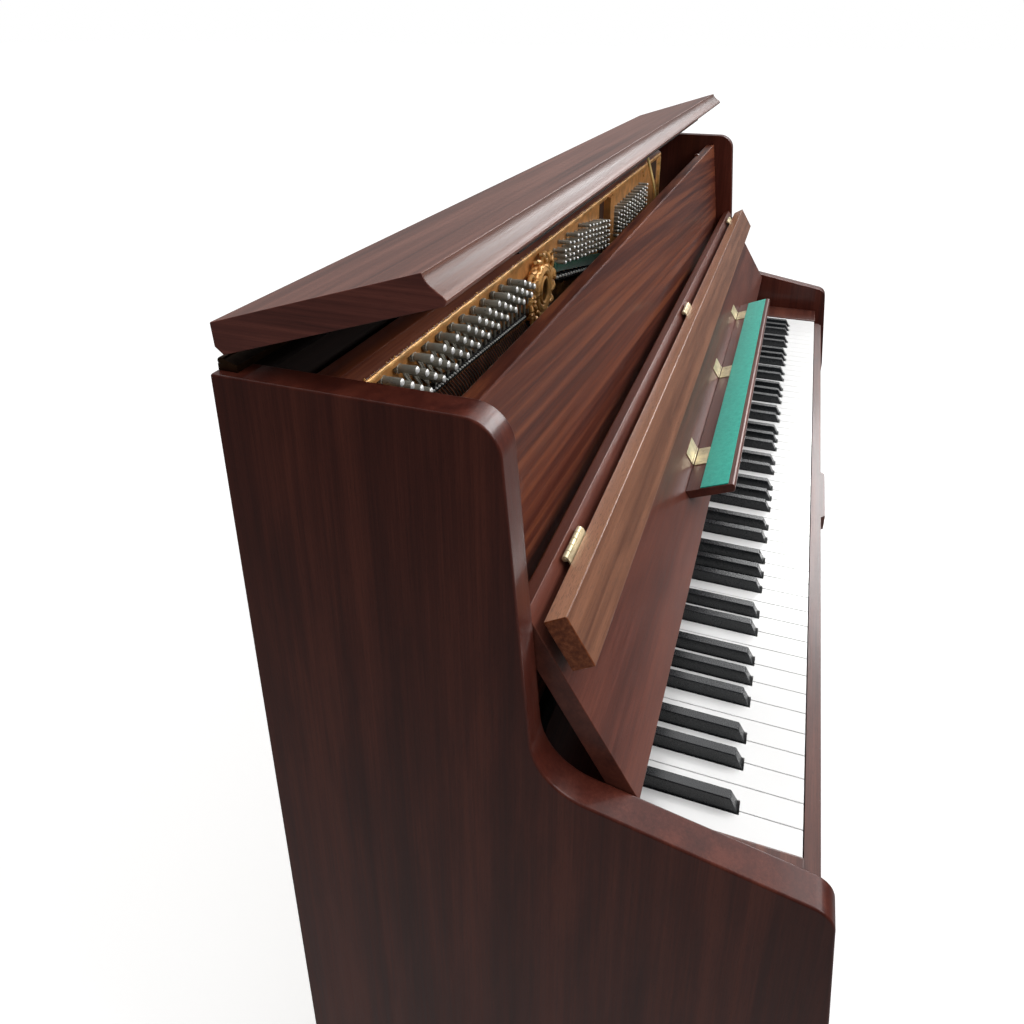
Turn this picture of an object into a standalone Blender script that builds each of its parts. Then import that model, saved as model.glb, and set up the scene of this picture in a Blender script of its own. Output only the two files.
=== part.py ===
"""A small console upright piano, lid propped and fallboard open, at real size in metres.

Everything is placed from the front edge of the natural keys (y), the floor (z) and the middle (x).
"""

import math

import bmesh
import bpy
from mathutils import Euler, Vector

# Fits
SEAT = 0.0003
PIN_PLAY = 0.0003

# Case
SIDE_THICKNESS = 0.025
KEY_TOP = 0.735
SIDE_RISE = 0.367
CASE_FRONT = -0.032
CHEEK_RISE = -0.120
CHEEK_FOOT_RISE = -0.190
TOE_FRONT = 0.030
SHOULDER_FRONT = 0.2125
SHOULDER_RADIUS = 0.028
ARM_ROOT = 0.1895
ARM_ROOT_RISE = 0.0843
ARM_ROOT_RADIUS = 0.050
ARM_TIP = -0.016
ARM_TIP_RISE = 0.049
ARM_TIP_RADIUS = 0.018
SIDE_BEVEL = 0.003
PANEL_BEVEL = 0.0015
SIDE_TOP = KEY_TOP + SIDE_RISE

# Keyboard, which with the block at each end sets the width between the sides
NATURAL_PITCH = 0.02356
KEY_COUNT = 88
FIRST_LETTER = 9
BASS_BLOCK = 0.047
TREBLE_BLOCK = 0.06788
KEY_GAP = 0.0009
NOTCH_GAP = 0.0014
SHARP_SLOT = 0.0122
SHARP_FRONT = 0.050
SHARP_HEIGHT = 0.012
SHARP_SLANT = 0.006
SHARP_END = 0.150
KEY_LENGTH = 0.300
STICK_DEPTH = 0.022
BALANCE = 0.190
RAIL_RISE = 0.0055
NATURAL_RAIL_FROM = 0.102
NATURAL_RAIL_WIDTH = 0.014
NATURAL_RAIL_CLEARANCE = 0.006
SHARP_RAIL_TO_END = 0.020
SHARP_RAIL_WIDTH = 0.012
SHARP_RAIL_THICKNESS = 0.004
SHARP_RAIL_CLEARANCE = 0.004
NATURALS = 52
INNER_WIDTH = BASS_BLOCK + NATURALS * NATURAL_PITCH + TREBLE_BLOCK
HALF_INNER = INNER_WIDTH / 2
KEYS_LEFT = -HALF_INNER + BASS_BLOCK
SHARP_RAIL_FROM = KEY_LENGTH - SHARP_RAIL_TO_END - SHARP_RAIL_WIDTH
KEYS_RIGHT = KEYS_LEFT + NATURALS * NATURAL_PITCH
STICK_BOTTOM = KEY_TOP - STICK_DEPTH

# Keybed and what is in front of the keys
KEYBED_DEPTH = 0.045
KEYBED_THICKNESS = 0.032
KEYBED_FRONT = -0.016
FRAME_BASE = 0.0065
FRAME_BEHIND_KEYS = 0.005
KEYSLIP_PAST_KEYS = 0.006
KEYSLIP_CLEARANCE = 0.0017
KEYSLIP_THICKNESS = 0.0088
KEYSLIP_DROP = 0.006
LIP_THICKNESS = 0.0037
LIP_DROP = 0.002
PULL_INSET = 0.534
PULL_FROM = -HALF_INNER + PULL_INSET
PULL_WIDTH = 0.120
PULL_REACH = 0.0055
PULL_HEIGHT = 0.020
PULL_DROP = 0.002
BLOCK_RISE = 0.002
BLOCK_LENGTH = 0.160
KEYBED_TOP = KEY_TOP - KEYBED_DEPTH
KEYBED_BOTTOM = KEYBED_TOP - KEYBED_THICKNESS
KEYSLIP_TOP = KEY_TOP - KEYSLIP_DROP
KEYSLIP_REAR = -KEYSLIP_CLEARANCE

# Fallboard, flap and music shelf, measured up the leaning face (u) and out from it (n)
FALL_FOOT = 0.118
FALL_FOOT_RISE = 0.066
FALL_LEAN = math.radians(31)
FALL_LENGTH = 0.168
FALL_THICKNESS = 0.0174
FALL_END_GAP = 0.002
FALL_PIVOT = 0.0195
FALL_PIN_RADIUS = 0.004
FALL_PIN_LENGTH = 0.010
FALL_PIN_ROOT = 0.004
FLAP_HEIGHT = 0.042
FLAP_THICKNESS = 0.019
FLAP_GAP = 0.008
FLAP_DROP = 0.0105
FLAP_END_GAP = 0.004
KNUCKLE_RADIUS = 0.0041
KNUCKLE_AHEAD = 0.004
FLAP_HINGE_WIDTH = 0.042
BASS_FLAP_HINGE_INSET = 0.090
TREBLE_FLAP_HINGE_INSET = 0.081
MIDDLE_FLAP_HINGE = 0.001
FLAP_HINGES = (-HALF_INNER + BASS_FLAP_HINGE_INSET, MIDDLE_FLAP_HINGE, HALF_INNER - TREBLE_FLAP_HINGE_INSET)
SHELF_UP = 0.0466
SHELF_DEPTH = 0.0558
SHELF_DROOP = math.radians(8.8)
SHELF_THICKNESS = 0.0095
SHELF_INSET = 0.3527
SHELF_FROM = -HALF_INNER + SHELF_INSET
SHELF_WIDTH = 0.6566
SHELF_NOSE = 0.0035
SHELF_LIP_SETBACK = 0.003
SHELF_AXIS_UP = 0.002
SHELF_AXIS_OUT = 0.0009
FELT_FROM = 0.017
FELT_DEPTH = 0.031
FELT_THICKNESS = 0.001
FELT_INSET = 0.004
REST_BOARD_FROM = 0.165
REST_BOARD_TO = 0.201
REST_BOARD_RISE = 0.046
REST_BOARD_THICKNESS = 0.016

# Upper and lower panels, toe rail and bottom board
UPPER_TOP_FRONT = 0.2482
UPPER_TOP_RISE = 0.3482
UPPER_FOOT_FRONT = 0.215
UPPER_FOOT_RISE = 0.060
PANEL_THICKNESS = 0.017
LOWER_FRONT = 0.172
LOWER_THICKNESS = 0.018
LOWER_FOOT = 0.080
TOE_RAIL_FOOT = 0.010
BOTTOM_BOARD_FOOT = 0.015
BOTTOM_BOARD_THICKNESS = 0.020

# Back, soundboard, pin block and plate, from the strings rearwards
STRINGS_BEHIND_KEYS = 0.0352
STRING_THICKNESS = 0.0025
PLATE_THICKNESS = 0.007
PLATE_LEFT = 0.012
PLATE_RIGHT = 0.153
PLATE_FOOT_RISE = 0.060
PLATE_TOP_RISE = 0.347
PLATE_MARGIN = 0.004
RIM_HEIGHT = 0.0045
RIM_PROUD = 0.004
STRUT_INSET = 0.735
STRUT_X = -HALF_INNER + STRUT_INSET
STRUT_WIDTH = 0.026
STRUT_PROUD = 0.010
HITCH_TOP = 0.250
HITCH_FOOT = 0.600
BLOCK_TOP_RISE = 0.335
BLOCK_HEIGHT = 0.110
BLOCK_THICKNESS = 0.0264
TOP_RAIL_RISE = 0.3565
TOP_RAIL_DEPTH = 0.020
SOUNDBOARD_THICKNESS = 0.0087
SOUNDBOARD_UNDER_BLOCK = 0.005
POST_DEPTH = 0.040
POST_WIDTH = 0.060
POST_INSET = 0.270
BACK_RECESS = 0.004
TOP_BEAM_DEPTH = 0.028
TOP_BEAM_HEIGHT = 0.066
TOP_BEAM_DROP = 0.001
BOTTOM_BEAM_FOOT = 0.020
BOTTOM_BEAM_HEIGHT = 0.070
STRING_PLANE = KEY_LENGTH + STRINGS_BEHIND_KEYS
PLATE_FRONT = STRING_PLANE + STRING_THICKNESS + SEAT
PLATE_REAR = PLATE_FRONT + PLATE_THICKNESS
POST_FRONT = PLATE_REAR + BLOCK_THICKNESS + 2 * SEAT
CASE_REAR = POST_FRONT + POST_DEPTH + BACK_RECESS
DEPTH_CENTRE = (CASE_REAR + CASE_FRONT) / 2

# Lid, its hinge and its stay; the lid's own profile is written as it lies when closed
LID_OPEN = math.radians(18.1)
LID_AXIS_INSET = 0.005
LID_AXIS = CASE_REAR - LID_AXIS_INSET
LID_AXIS_LIFT = 0.007
LID_AXIS_RISE = SIDE_RISE + LID_AXIS_LIFT
LID_KNUCKLE = 0.003
LID_OVERHANG = 0.018
LID_SETBACK = 0.023
LID_COVE = 0.0095
LID_LIP = 0.0068
LID_NOSE = 0.002
LID_THICKNESS = 0.0225
LID_REAR_LEAN = 0.0036
LID_REAR_REACH = 0.0007
LID_REAR_CHAMFER = 0.0012
LID_LEAF = 0.012
LID_FRONT = LID_AXIS - SHOULDER_FRONT - LID_SETBACK
LID_ARRIS = LID_FRONT - LID_COVE
BATTEN_FROM_FRONT = 0.0255
BATTEN_WIDTH = 0.012
BATTEN_DEPTH = 0.0100
BATTEN_INSET = 0.160
STAY_REACH = 0.078
STAY_INSET = 0.310
STAY_X = HALF_INNER - STAY_INSET
STAY_KNUCKLE = 0.0045
STAY_KNUCKLE_WIDTH = 0.012
STAY_RADIUS = 0.0035
STAY_DROP = 0.140
STAY_BACK = 0.024

# Tuning pins
STRIP_THICKNESS = 0.0042
PIN_ROOT = 0.002
BASS_PIN_RADIUS = 0.0035
BASS_PIN_LENGTH = 0.021
BASS_PIN_TILT = math.radians(2)
FINE_PIN_RADIUS = 0.0028
FINE_PIN_LENGTH = 0.017
FINE_PIN_TILT = math.radians(8)
BASS_PINS_INSET = 0.056
BASS_PINS_FROM = -HALF_INNER + BASS_PINS_INSET
BASS_PIN_PITCH = 0.0244
BASS_PIN_COLUMNS = 12
BASS_PIN_ROWS = 4
BASS_ROW_SHIFT = 0.017
BASS_ROW_PITCH = 0.0075
BASS_PINS_RISE = 0.3375
BASS_PIN_FALL = 0.015
TENOR_PINS_END_INSET = 0.705
TENOR_PINS_TO = -HALF_INNER + TENOR_PINS_END_INSET
TENOR_PIN_PITCH = 0.019
TENOR_PIN_COLUMNS = 14
TENOR_PINS_RISE = 0.296
TENOR_PIN_CLIMB = 0.11
TREBLE_PINS_INSET = 0.766
TREBLE_PINS_FROM = -HALF_INNER + TREBLE_PINS_INSET
TREBLE_PIN_PITCH = 0.020
TREBLE_PIN_COLUMNS = 13
TREBLE_PINS_RISE = 0.283
TREBLE_PIN_CLIMB = 0.085
FINE_ROW_PITCH = 0.0075
FINE_PIN_ROWS = 6
PIN_CEILING_RISE = 0.333
STRIP_MARGIN = 0.0045
STRIP_TOP_MARGIN = 0.0035
BASS_STRIP_END = 0.008
BASS_STRIP_MARGIN = 0.001
FELT_BAND_HEIGHT = 0.013
FELT_BAND_DROP = 0.0065
FELT_BAND_THICKNESS = 0.004
ORNAMENT_INSET = 0.398
ORNAMENT_X = -HALF_INNER + ORNAMENT_INSET
ORNAMENT_RISE = 0.303
ORNAMENT_RADIUS = 0.030
ORNAMENT_THICKNESS = 0.005
ORNAMENT_LOBES = 8
ORNAMENT_WAVE = 0.10

# Strings and bridge
STRINGS_INSET = 0.036
STRINGS_FROM = -HALF_INNER + STRINGS_INSET
STRINGS_END_INSET = 0.283
STRINGS_TO = HALF_INNER - STRINGS_END_INSET
STRING_COUNT = 88
STRING_WIDTH = 0.0022
STRING_BAR = 0.008
BASS_STRING_COUNT = 22
BASS_STRING_RISE = 0.286
LONG_STRING_RISE = 0.262
STRINGS_PAST_HITCH_TOP = 0.020
BRIDGE_INSET = 0.110
BRIDGE_FROM = -HALF_INNER + BRIDGE_INSET
BRIDGE_END_INSET = 0.180
BRIDGE_TO = HALF_INNER - BRIDGE_END_INSET
BRIDGE_DROP = 0.150
BRIDGE_CLIMB = 0.170
BRIDGE_WIDTH = 0.030

# Action
ACTION_TO_STRINGS = 0.0552
ACTION_DEPTH = 0.036
ACTION_RISE = 0.070
ACTION_HEIGHT = 0.025
HAMMER_AXIS_IN = 0.010
DAMPER_AXIS_IN = 0.028
ROLLER_RADIUS = 0.0045
ROLLER_PAST_ARMS = 0.010
HAMMER_INSET = 0.070
HAMMER_FROM = -HALF_INNER + HAMMER_INSET
HAMMER_END_INSET = 0.0955
HAMMER_TO = HALF_INNER - HAMMER_END_INSET
HAMMER_COUNT = 88
HAMMER_WIDTH = 0.007
SHANK_THICKNESS = 0.005
SHANK_LENGTH = 0.100
HEAD_HEIGHT = 0.016
HEAD_FRONT = 0.010
HEAD_BACK = 0.008
DAMPER_RISE = 0.036
DAMPER_HEIGHT = 0.026
DAMPER_BEND = 0.012
DAMPER_REACH = 0.0265
DAMPER_COUNT = 66
ACTION_FRONT = STRING_PLANE - ACTION_TO_STRINGS
HAMMER_AXIS = ACTION_FRONT + HAMMER_AXIS_IN
DAMPER_AXIS = ACTION_FRONT + DAMPER_AXIS_IN
HAMMER_PITCH = (HAMMER_TO - HAMMER_FROM) / (HAMMER_COUNT - 1)

# Pedals and their rods
PEDAL_X = 0.070
PEDAL_AXIS = 0.260
PEDAL_HEIGHT = 0.052
PEDAL_THICKNESS = 0.008
PEDAL_TIP = 0.105
PEDAL_PAST_ROD = 0.010
PEDAL_WIDTH = 0.044
PEDAL_CORNER = 0.018
PEDAL_PAD = 0.045
PEDAL_NECK = 0.017
PEDAL_NECK_RADIUS = 0.010
PEDAL_STEM = 0.024
PEDAL_SLOT = 0.060
SLOT_HEADROOM = 0.008
SLOT_UNDERCUT = 0.005
ROD_TO_POST = 0.047
ROD_RADIUS = 0.006
ROD_TOP_RISE = 0.030
ROD_Y = POST_FRONT - ROD_TO_POST
PEDAL_REAR = ROD_Y + PEDAL_PAST_ROD


def clear_scene():
    for obj in list(bpy.data.objects):
        bpy.data.objects.remove(obj, do_unlink=True)


clear_scene()
PIANO = bpy.data.collections.new("piano")
HELPERS = bpy.data.collections.new("helpers")
for group in (PIANO, HELPERS):
    bpy.context.scene.collection.children.link(group)
BENCH = bpy.data.objects.new("bench", None)
BENCH.location.y = -DEPTH_CENTRE
PIANO.objects.link(BENCH)


def coat(name, colour, roughness, metallic=0.0):
    """A plain finish of one colour."""
    material = bpy.data.materials.new(name)
    material.use_nodes = True
    shader = material.node_tree.nodes["Principled BSDF"]
    shader.inputs["Base Color"].default_value = (*colour, 1.0)
    shader.inputs["Roughness"].default_value = roughness
    shader.inputs["Metallic"].default_value = metallic
    return material


def mahogany(name):
    return coat(name, (0.062, 0.018, 0.012), 0.32)


def tan_mahogany(name):
    return coat(name, (0.26, 0.11, 0.060), 0.35)


def plain_wood(name):
    return coat(name, (0.42, 0.28, 0.16), 0.6)


def brass(name):
    return coat(name, (0.75, 0.58, 0.28), 0.3, 1.0)


def bronze(name):
    return coat(name, (0.45, 0.21, 0.055), 0.4, 0.75)


def steel(name):
    return coat(name, (0.22, 0.21, 0.19), 0.3, 1.0)


def felt(name, colour):
    return coat(name, colour, 0.95)


def place_on_bench(obj):
    """Where an empty or a piece stands, from the key fronts, the floor and the middle."""
    place = Vector()
    while obj is not None and obj is not BENCH:
        place += obj.location
        obj = obj.parent
    return place


def add(name, data, finish, at=(0, 0, 0), turn=(0, 0, 0), parent=None):
    """A piece put where its origin lies on the bench."""
    obj = bpy.data.objects.new(name, data)
    obj.parent = parent or BENCH
    obj.location = Vector(at) - place_on_bench(parent)
    obj.rotation_euler = turn
    data.materials.append(finish)
    PIANO.objects.link(obj)
    return obj


def axis(name, at, parent=None):
    """An empty on a joint's axis, for the pieces that turn with it."""
    empty = bpy.data.objects.new(name, None)
    empty.parent = parent or BENCH
    empty.location = Vector(at) - place_on_bench(parent)
    PIANO.objects.link(empty)
    return empty


def rounded(corners, steps=4):
    """An outline from (across, up, radius) corners, with an arc where the radius isn't 0."""
    points = []
    for i, (across, up, radius) in enumerate(corners):
        corner = Vector((across, up))
        if not radius:
            points.append(tuple(corner))
            continue
        back = (Vector(corners[i - 1][:2]) - corner).normalized()
        ahead = (Vector(corners[(i + 1) % len(corners)][:2]) - corner).normalized()
        half = back.angle(ahead) / 2
        centre = corner + (back + ahead).normalized() * (radius / math.sin(half))
        start = corner + back * (radius / math.tan(half)) - centre
        end = corner + ahead * (radius / math.tan(half)) - centre
        first = math.atan2(start.y, start.x)
        sweep = (math.atan2(end.y, end.x) - first + math.pi) % (2 * math.pi) - math.pi
        for step in range(steps + 1):
            angle = first + sweep * step / steps
            points.append((centre.x + radius * math.cos(angle), centre.y + radius * math.sin(angle)))
    return points


def box_corners(across_from, across_to, up_from, up_to):
    return [(across_from, up_from), (across_to, up_from), (across_to, up_to), (across_from, up_to)]


def filled(name, rings, thickness):
    """A flat filled outline; rings inside the first are its holes."""
    curve = bpy.data.curves.new(name, "CURVE")
    curve.dimensions = "2D"
    curve.fill_mode = "BOTH"
    curve.extrude = thickness / 2
    for ring in rings:
        spline = curve.splines.new("POLY")
        spline.points.add(len(ring) - 1)
        for point, (across, up) in zip(spline.points, ring):
            point.co = (across, up, 0, 1)
        spline.use_cyclic_u = True
    return curve


# Turns that take a flat outline's own x and y to the piano's y and z, and to its x and z
ALONG = (math.pi / 2, 0, math.pi / 2)
UPRIGHT = (math.pi / 2, 0, 0)


def mesh_of(data, turn=(0, 0, 0), shift=(0, 0, 0)):
    """A curve as a closed mesh, its caps welded, turned and shifted about its own origin."""
    scratch = bpy.data.objects.new("scratch", data)
    bpy.context.scene.collection.objects.link(scratch)
    graph = bpy.context.evaluated_depsgraph_get()
    mesh = bpy.data.meshes.new_from_object(scratch.evaluated_get(graph))
    bpy.data.objects.remove(scratch, do_unlink=True)
    shape = bmesh.new()
    shape.from_mesh(mesh)
    bmesh.ops.remove_doubles(shape, verts=shape.verts, dist=1e-6)
    bmesh.ops.recalc_face_normals(shape, faces=shape.faces)
    bmesh.ops.rotate(shape, verts=shape.verts, matrix=Euler(turn).to_matrix())
    bmesh.ops.translate(shape, verts=shape.verts, vec=shift)
    shape.to_mesh(mesh)
    shape.free()
    return mesh


def soften(obj, width, segments=2):
    """Eased edges, after the outline's caps are welded to its sides."""
    if obj.type == "CURVE":
        weld = obj.modifiers.new("weld", "WELD")
        weld.merge_threshold = 0.00001
    bevel = obj.modifiers.new("eased edges", "BEVEL")
    bevel.width = width
    bevel.segments = segments
    bevel.limit_method = "ANGLE"
    bevel.angle_limit = math.radians(35)
    return obj


def bar(name, profile, x_from, x_to, finish, pivot=(0, 0), parent=None):
    """A profile in y and z drawn out along the piano, its origin on the pivot."""
    shifted = [(y - pivot[0], z - pivot[1]) for y, z in profile]
    middle = (x_from + x_to) / 2
    return add(name, filled(name, [shifted], x_to - x_from), finish, (middle, *pivot), ALONG, parent)


def bar_mesh(name, profile, x_from, x_to, pivot=(0, 0)):
    """The same as a mesh whose origin is on the pivot and at the piano's middle."""
    shifted = [(y - pivot[0], z - pivot[1]) for y, z in profile]
    return mesh_of(filled(name, [shifted], x_to - x_from), ALONG, ((x_from + x_to) / 2, 0, 0))


def sheet(name, rings, y_from, y_to, finish):
    """An outline in x and z given a thickness from front to back."""
    return add(name, filled(name, rings, y_to - y_from), finish, (0, (y_from + y_to) / 2, 0), UPRIGHT)


def sheet_mesh(name, rings, y_from, y_to):
    return mesh_of(filled(name, rings, y_to - y_from), UPRIGHT, (0, (y_from + y_to) / 2, 0))


def block_mesh(name, low, high):
    """A plain block between two corners."""
    shape = bmesh.new()
    bmesh.ops.create_cube(shape, size=1)
    bmesh.ops.scale(shape, verts=shape.verts, vec=Vector(high) - Vector(low))
    bmesh.ops.translate(shape, verts=shape.verts, vec=(Vector(high) + Vector(low)) / 2)
    mesh = bpy.data.meshes.new(name)
    shape.to_mesh(mesh)
    shape.free()
    return mesh


def rod_mesh(name, radius, length, direction, sides=12):
    """A round rod from the origin along a direction."""
    shape = bmesh.new()
    bmesh.ops.create_cone(
        shape, cap_ends=True, segments=sides, radius1=radius, radius2=radius, depth=length
    )
    bmesh.ops.translate(shape, verts=shape.verts, vec=(0, 0, length / 2))
    turn = Vector((0, 0, 1)).rotation_difference(Vector(direction))
    bmesh.ops.rotate(shape, verts=shape.verts, matrix=turn.to_matrix())
    mesh = bpy.data.meshes.new(name)
    shape.to_mesh(mesh)
    shape.free()
    return mesh


def repeated(name, shape_mesh, places):
    """One mesh that holds a copy of a shape at each place."""
    shape = bmesh.new()
    for place in places:
        count = len(shape.verts)
        shape.from_mesh(shape_mesh)
        shape.verts.ensure_lookup_table()
        bmesh.ops.translate(shape, verts=shape.verts[count:], vec=place)
    mesh = bpy.data.meshes.new(name)
    shape.to_mesh(mesh)
    shape.free()
    return mesh


def combine(obj, mesh, operation="UNION"):
    """Joins a helper shape to a piece, or cuts it out; the helper stands where the piece does."""
    helper = bpy.data.objects.new(obj.name + "_" + operation.lower(), mesh)
    helper.parent = obj.parent
    helper.location = obj.location
    helper.rotation_euler = obj.rotation_euler
    helper.hide_render = True
    helper.display_type = "WIRE"
    HELPERS.objects.link(helper)
    change = obj.modifiers.new(operation.lower(), "BOOLEAN")
    change.operation = operation
    change.object = helper
    return obj


def side_outline():
    """The whole side: straight back, round shoulder, hollow root, sloping arm, tapering front."""
    return rounded([
        (CASE_REAR, 0, 0),
        (CASE_REAR, SIDE_TOP, 0),
        (SHOULDER_FRONT, SIDE_TOP, SHOULDER_RADIUS),
        (ARM_ROOT, KEY_TOP + ARM_ROOT_RISE, ARM_ROOT_RADIUS),
        (ARM_TIP, KEY_TOP + ARM_TIP_RISE, ARM_TIP_RADIUS),
        (CASE_FRONT, KEY_TOP + CHEEK_RISE, 0),
        (CASE_FRONT, KEY_TOP + CHEEK_FOOT_RISE, 0),
        (TOE_FRONT, 0, 0),
    ], steps=5)


def up_the_fall(u, n):
    """A point u up the open fallboard's face and n out from it, as y and z."""
    sine, cosine = math.sin(FALL_LEAN), math.cos(FALL_LEAN)
    return (FALL_FOOT + u * sine - n * cosine, KEY_TOP + FALL_FOOT_RISE + u * cosine + n * sine)


def fall_profile(corners, steps=3):
    """Rounded corners given up the face and out from it."""
    return [up_the_fall(u, n) for u, n in rounded(corners, steps)]


FALL_AXIS = up_the_fall(FALL_PIVOT, -FALL_THICKNESS / 2)
FLAP_TOP = FALL_LENGTH - FLAP_DROP
FLAP_AXIS = up_the_fall(FLAP_TOP + KNUCKLE_AHEAD, KNUCKLE_RADIUS + SEAT)
SHELF_AXIS = up_the_fall(SHELF_UP + SHELF_AXIS_UP, SHELF_AXIS_OUT)


def on_the_shelf(out, down=0.0):
    """A point out along the shelf's top from the face and down into the shelf, as u and n."""
    sine, cosine = math.sin(SHELF_DROOP), math.cos(SHELF_DROOP)
    return (SHELF_UP - out * sine - down * cosine, SEAT + out * cosine - down * sine)


def make_side(name, inner_x, outer_x, finish):
    """One side panel, with a blind hole for the fallboard's pivot pin."""
    low, high = min(inner_x, outer_x), max(inner_x, outer_x)
    outward = math.copysign(1, outer_x)
    side = add(name, bar_mesh(name, side_outline(), low, high), finish)
    hole = rod_mesh(name + "_hole", FALL_PIN_RADIUS + PIN_PLAY, FALL_PIN_LENGTH + 0.004, (outward, 0, 0), 16)
    hole.transform(translation((inner_x - outward * 0.002, *FALL_AXIS)))
    combine(side, hole, "DIFFERENCE")
    return soften(side, SIDE_BEVEL)


def translation(vector):
    """A matrix that only moves."""
    matrix = Euler((0, 0, 0)).to_matrix().to_4x4()
    matrix.translation = Vector(vector)
    return matrix


def make_case():
    left, right = -HALF_INNER, HALF_INNER
    make_side("left_side", left, left - SIDE_THICKNESS, mahogany("left_side"))
    make_side("right_side", right, right + SIDE_THICKNESS, mahogany("right_side"))
    x_from, x_to = left + SEAT, right - SEAT

    bar("keybed", box_corners(KEYBED_FRONT, KEY_LENGTH, KEYBED_BOTTOM, KEYBED_TOP), x_from, x_to,
        mahogany("keybed"))
    make_key_frame()
    block_front = KEYSLIP_REAR + SEAT
    block = box_corners(block_front, block_front + BLOCK_LENGTH, KEYBED_TOP + SEAT, KEY_TOP + BLOCK_RISE)
    soften(bar("left_key_block", block, x_from, KEYS_LEFT - SEAT, mahogany("left_key_block")), PANEL_BEVEL)
    soften(bar("right_key_block", block, KEYS_RIGHT + SEAT, x_to, mahogany("right_key_block")), PANEL_BEVEL)
    make_keyslip()

    rest = box_corners(REST_BOARD_FROM, REST_BOARD_TO, KEY_TOP + REST_BOARD_RISE - REST_BOARD_THICKNESS,
                       KEY_TOP + REST_BOARD_RISE)
    soften(bar("fallboard_rest_board", rest, x_from, x_to, mahogany("fallboard_rest_board")), PANEL_BEVEL)

    lean = math.atan2(UPPER_TOP_FRONT - UPPER_FOOT_FRONT, UPPER_TOP_RISE - UPPER_FOOT_RISE)
    back_step = (PANEL_THICKNESS * math.cos(lean), -PANEL_THICKNESS * math.sin(lean))
    top = (UPPER_TOP_FRONT, KEY_TOP + UPPER_TOP_RISE)
    foot = (UPPER_FOOT_FRONT, KEY_TOP + UPPER_FOOT_RISE)
    upper = [foot, (foot[0] + back_step[0], foot[1] + back_step[1]),
             (top[0] + back_step[0], top[1] + back_step[1]), top]
    soften(bar("upper_panel", upper, x_from, x_to, mahogany("upper_panel")), PANEL_BEVEL)

    lower = box_corners(LOWER_FRONT, LOWER_FRONT + LOWER_THICKNESS, LOWER_FOOT, KEYBED_BOTTOM - SEAT)
    soften(bar("lower_panel", lower, x_from, x_to, mahogany("lower_panel")), PANEL_BEVEL)
    make_toe_rail(x_from, x_to)
    make_bottom_board(x_from, x_to)


def make_key_frame():
    """The key frame: a base with a front rail, a narrow balance rail and a back rail."""
    base = KEYBED_TOP + SEAT
    floor = base + FRAME_BASE
    rail_top = STICK_BOTTOM - SEAT
    front_top = STICK_BOTTOM - 0.0113
    rear = KEY_LENGTH + FRAME_BEHIND_KEYS
    profile = [
        (0.008, base), (rear, base), (rear, rail_top), (rear - 0.030, rail_top), (rear - 0.035, floor),
        (BALANCE + 0.010, floor), (BALANCE + 0.002, rail_top), (BALANCE - 0.002, rail_top),
        (BALANCE - 0.010, floor), (0.050, floor), (0.045, front_top), (0.015, front_top), (0.008, floor),
    ]
    bar("key_frame", profile, KEYS_LEFT, KEYS_RIGHT, plain_wood("key_frame"))


def make_keyslip():
    """The slip in front of the keys, with its lower front lip and the pull at its middle."""
    x_from, x_to = KEYS_LEFT - KEYSLIP_PAST_KEYS, KEYS_RIGHT + KEYSLIP_PAST_KEYS
    rear = KEYSLIP_REAR
    front = rear - KEYSLIP_THICKNESS
    lip = front - LIP_THICKNESS
    lip_top = KEYSLIP_TOP - LIP_DROP
    foot = KEYBED_TOP + SEAT
    profile = [(lip, foot), (rear, foot), (rear, KEYSLIP_TOP), (front, KEYSLIP_TOP), (front, lip_top),
               (lip, lip_top)]
    slip = add("keyslip", bar_mesh("keyslip", profile, x_from, x_to), mahogany("keyslip"))
    pull_top = lip_top - PULL_DROP
    pull = rounded([
        (PULL_FROM, lip + 0.001, 0),
        (PULL_FROM + PULL_REACH, lip - PULL_REACH, 0),
        (PULL_FROM + PULL_WIDTH - PULL_REACH, lip - PULL_REACH, 0),
        (PULL_FROM + PULL_WIDTH, lip + 0.001, 0),
    ])
    shape = mesh_of(filled("pull", [pull], PULL_HEIGHT), (0, 0, 0), (0, 0, pull_top - PULL_HEIGHT / 2))
    combine(slip, shape)


def make_toe_rail(x_from, x_to):
    """The rail under the lower panel, with a slot for each pedal."""
    slot_foot = BOTTOM_BOARD_FOOT + BOTTOM_BOARD_THICKNESS - SLOT_UNDERCUT
    slot_top = PEDAL_HEIGHT + PEDAL_THICKNESS + SLOT_HEADROOM
    rings = [box_corners(x_from, x_to, TOE_RAIL_FOOT, LOWER_FOOT - SEAT)]
    for x in (-PEDAL_X, PEDAL_X):
        rings.append(box_corners(x - PEDAL_SLOT / 2, x + PEDAL_SLOT / 2, slot_foot, slot_top))
    sheet("toe_rail", rings, LOWER_FRONT, LOWER_FRONT + LOWER_THICKNESS, mahogany("toe_rail"))


def make_bottom_board(x_from, x_to):
    """The bottom board, with the ridge that the pedals rock on."""
    top = BOTTOM_BOARD_FOOT + BOTTOM_BOARD_THICKNESS
    front = LOWER_FRONT + LOWER_THICKNESS + SEAT
    ridge_top = PEDAL_HEIGHT - SEAT
    profile = [
        (front, BOTTOM_BOARD_FOOT), (POST_FRONT - SEAT, BOTTOM_BOARD_FOOT), (POST_FRONT - SEAT, top),
        (PEDAL_AXIS + 0.008, top), (PEDAL_AXIS + 0.0015, ridge_top), (PEDAL_AXIS - 0.0015, ridge_top),
        (PEDAL_AXIS - 0.008, top), (front, top),
    ]
    bar("bottom_board", profile, x_from, x_to, plain_wood("bottom_board"))


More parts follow.
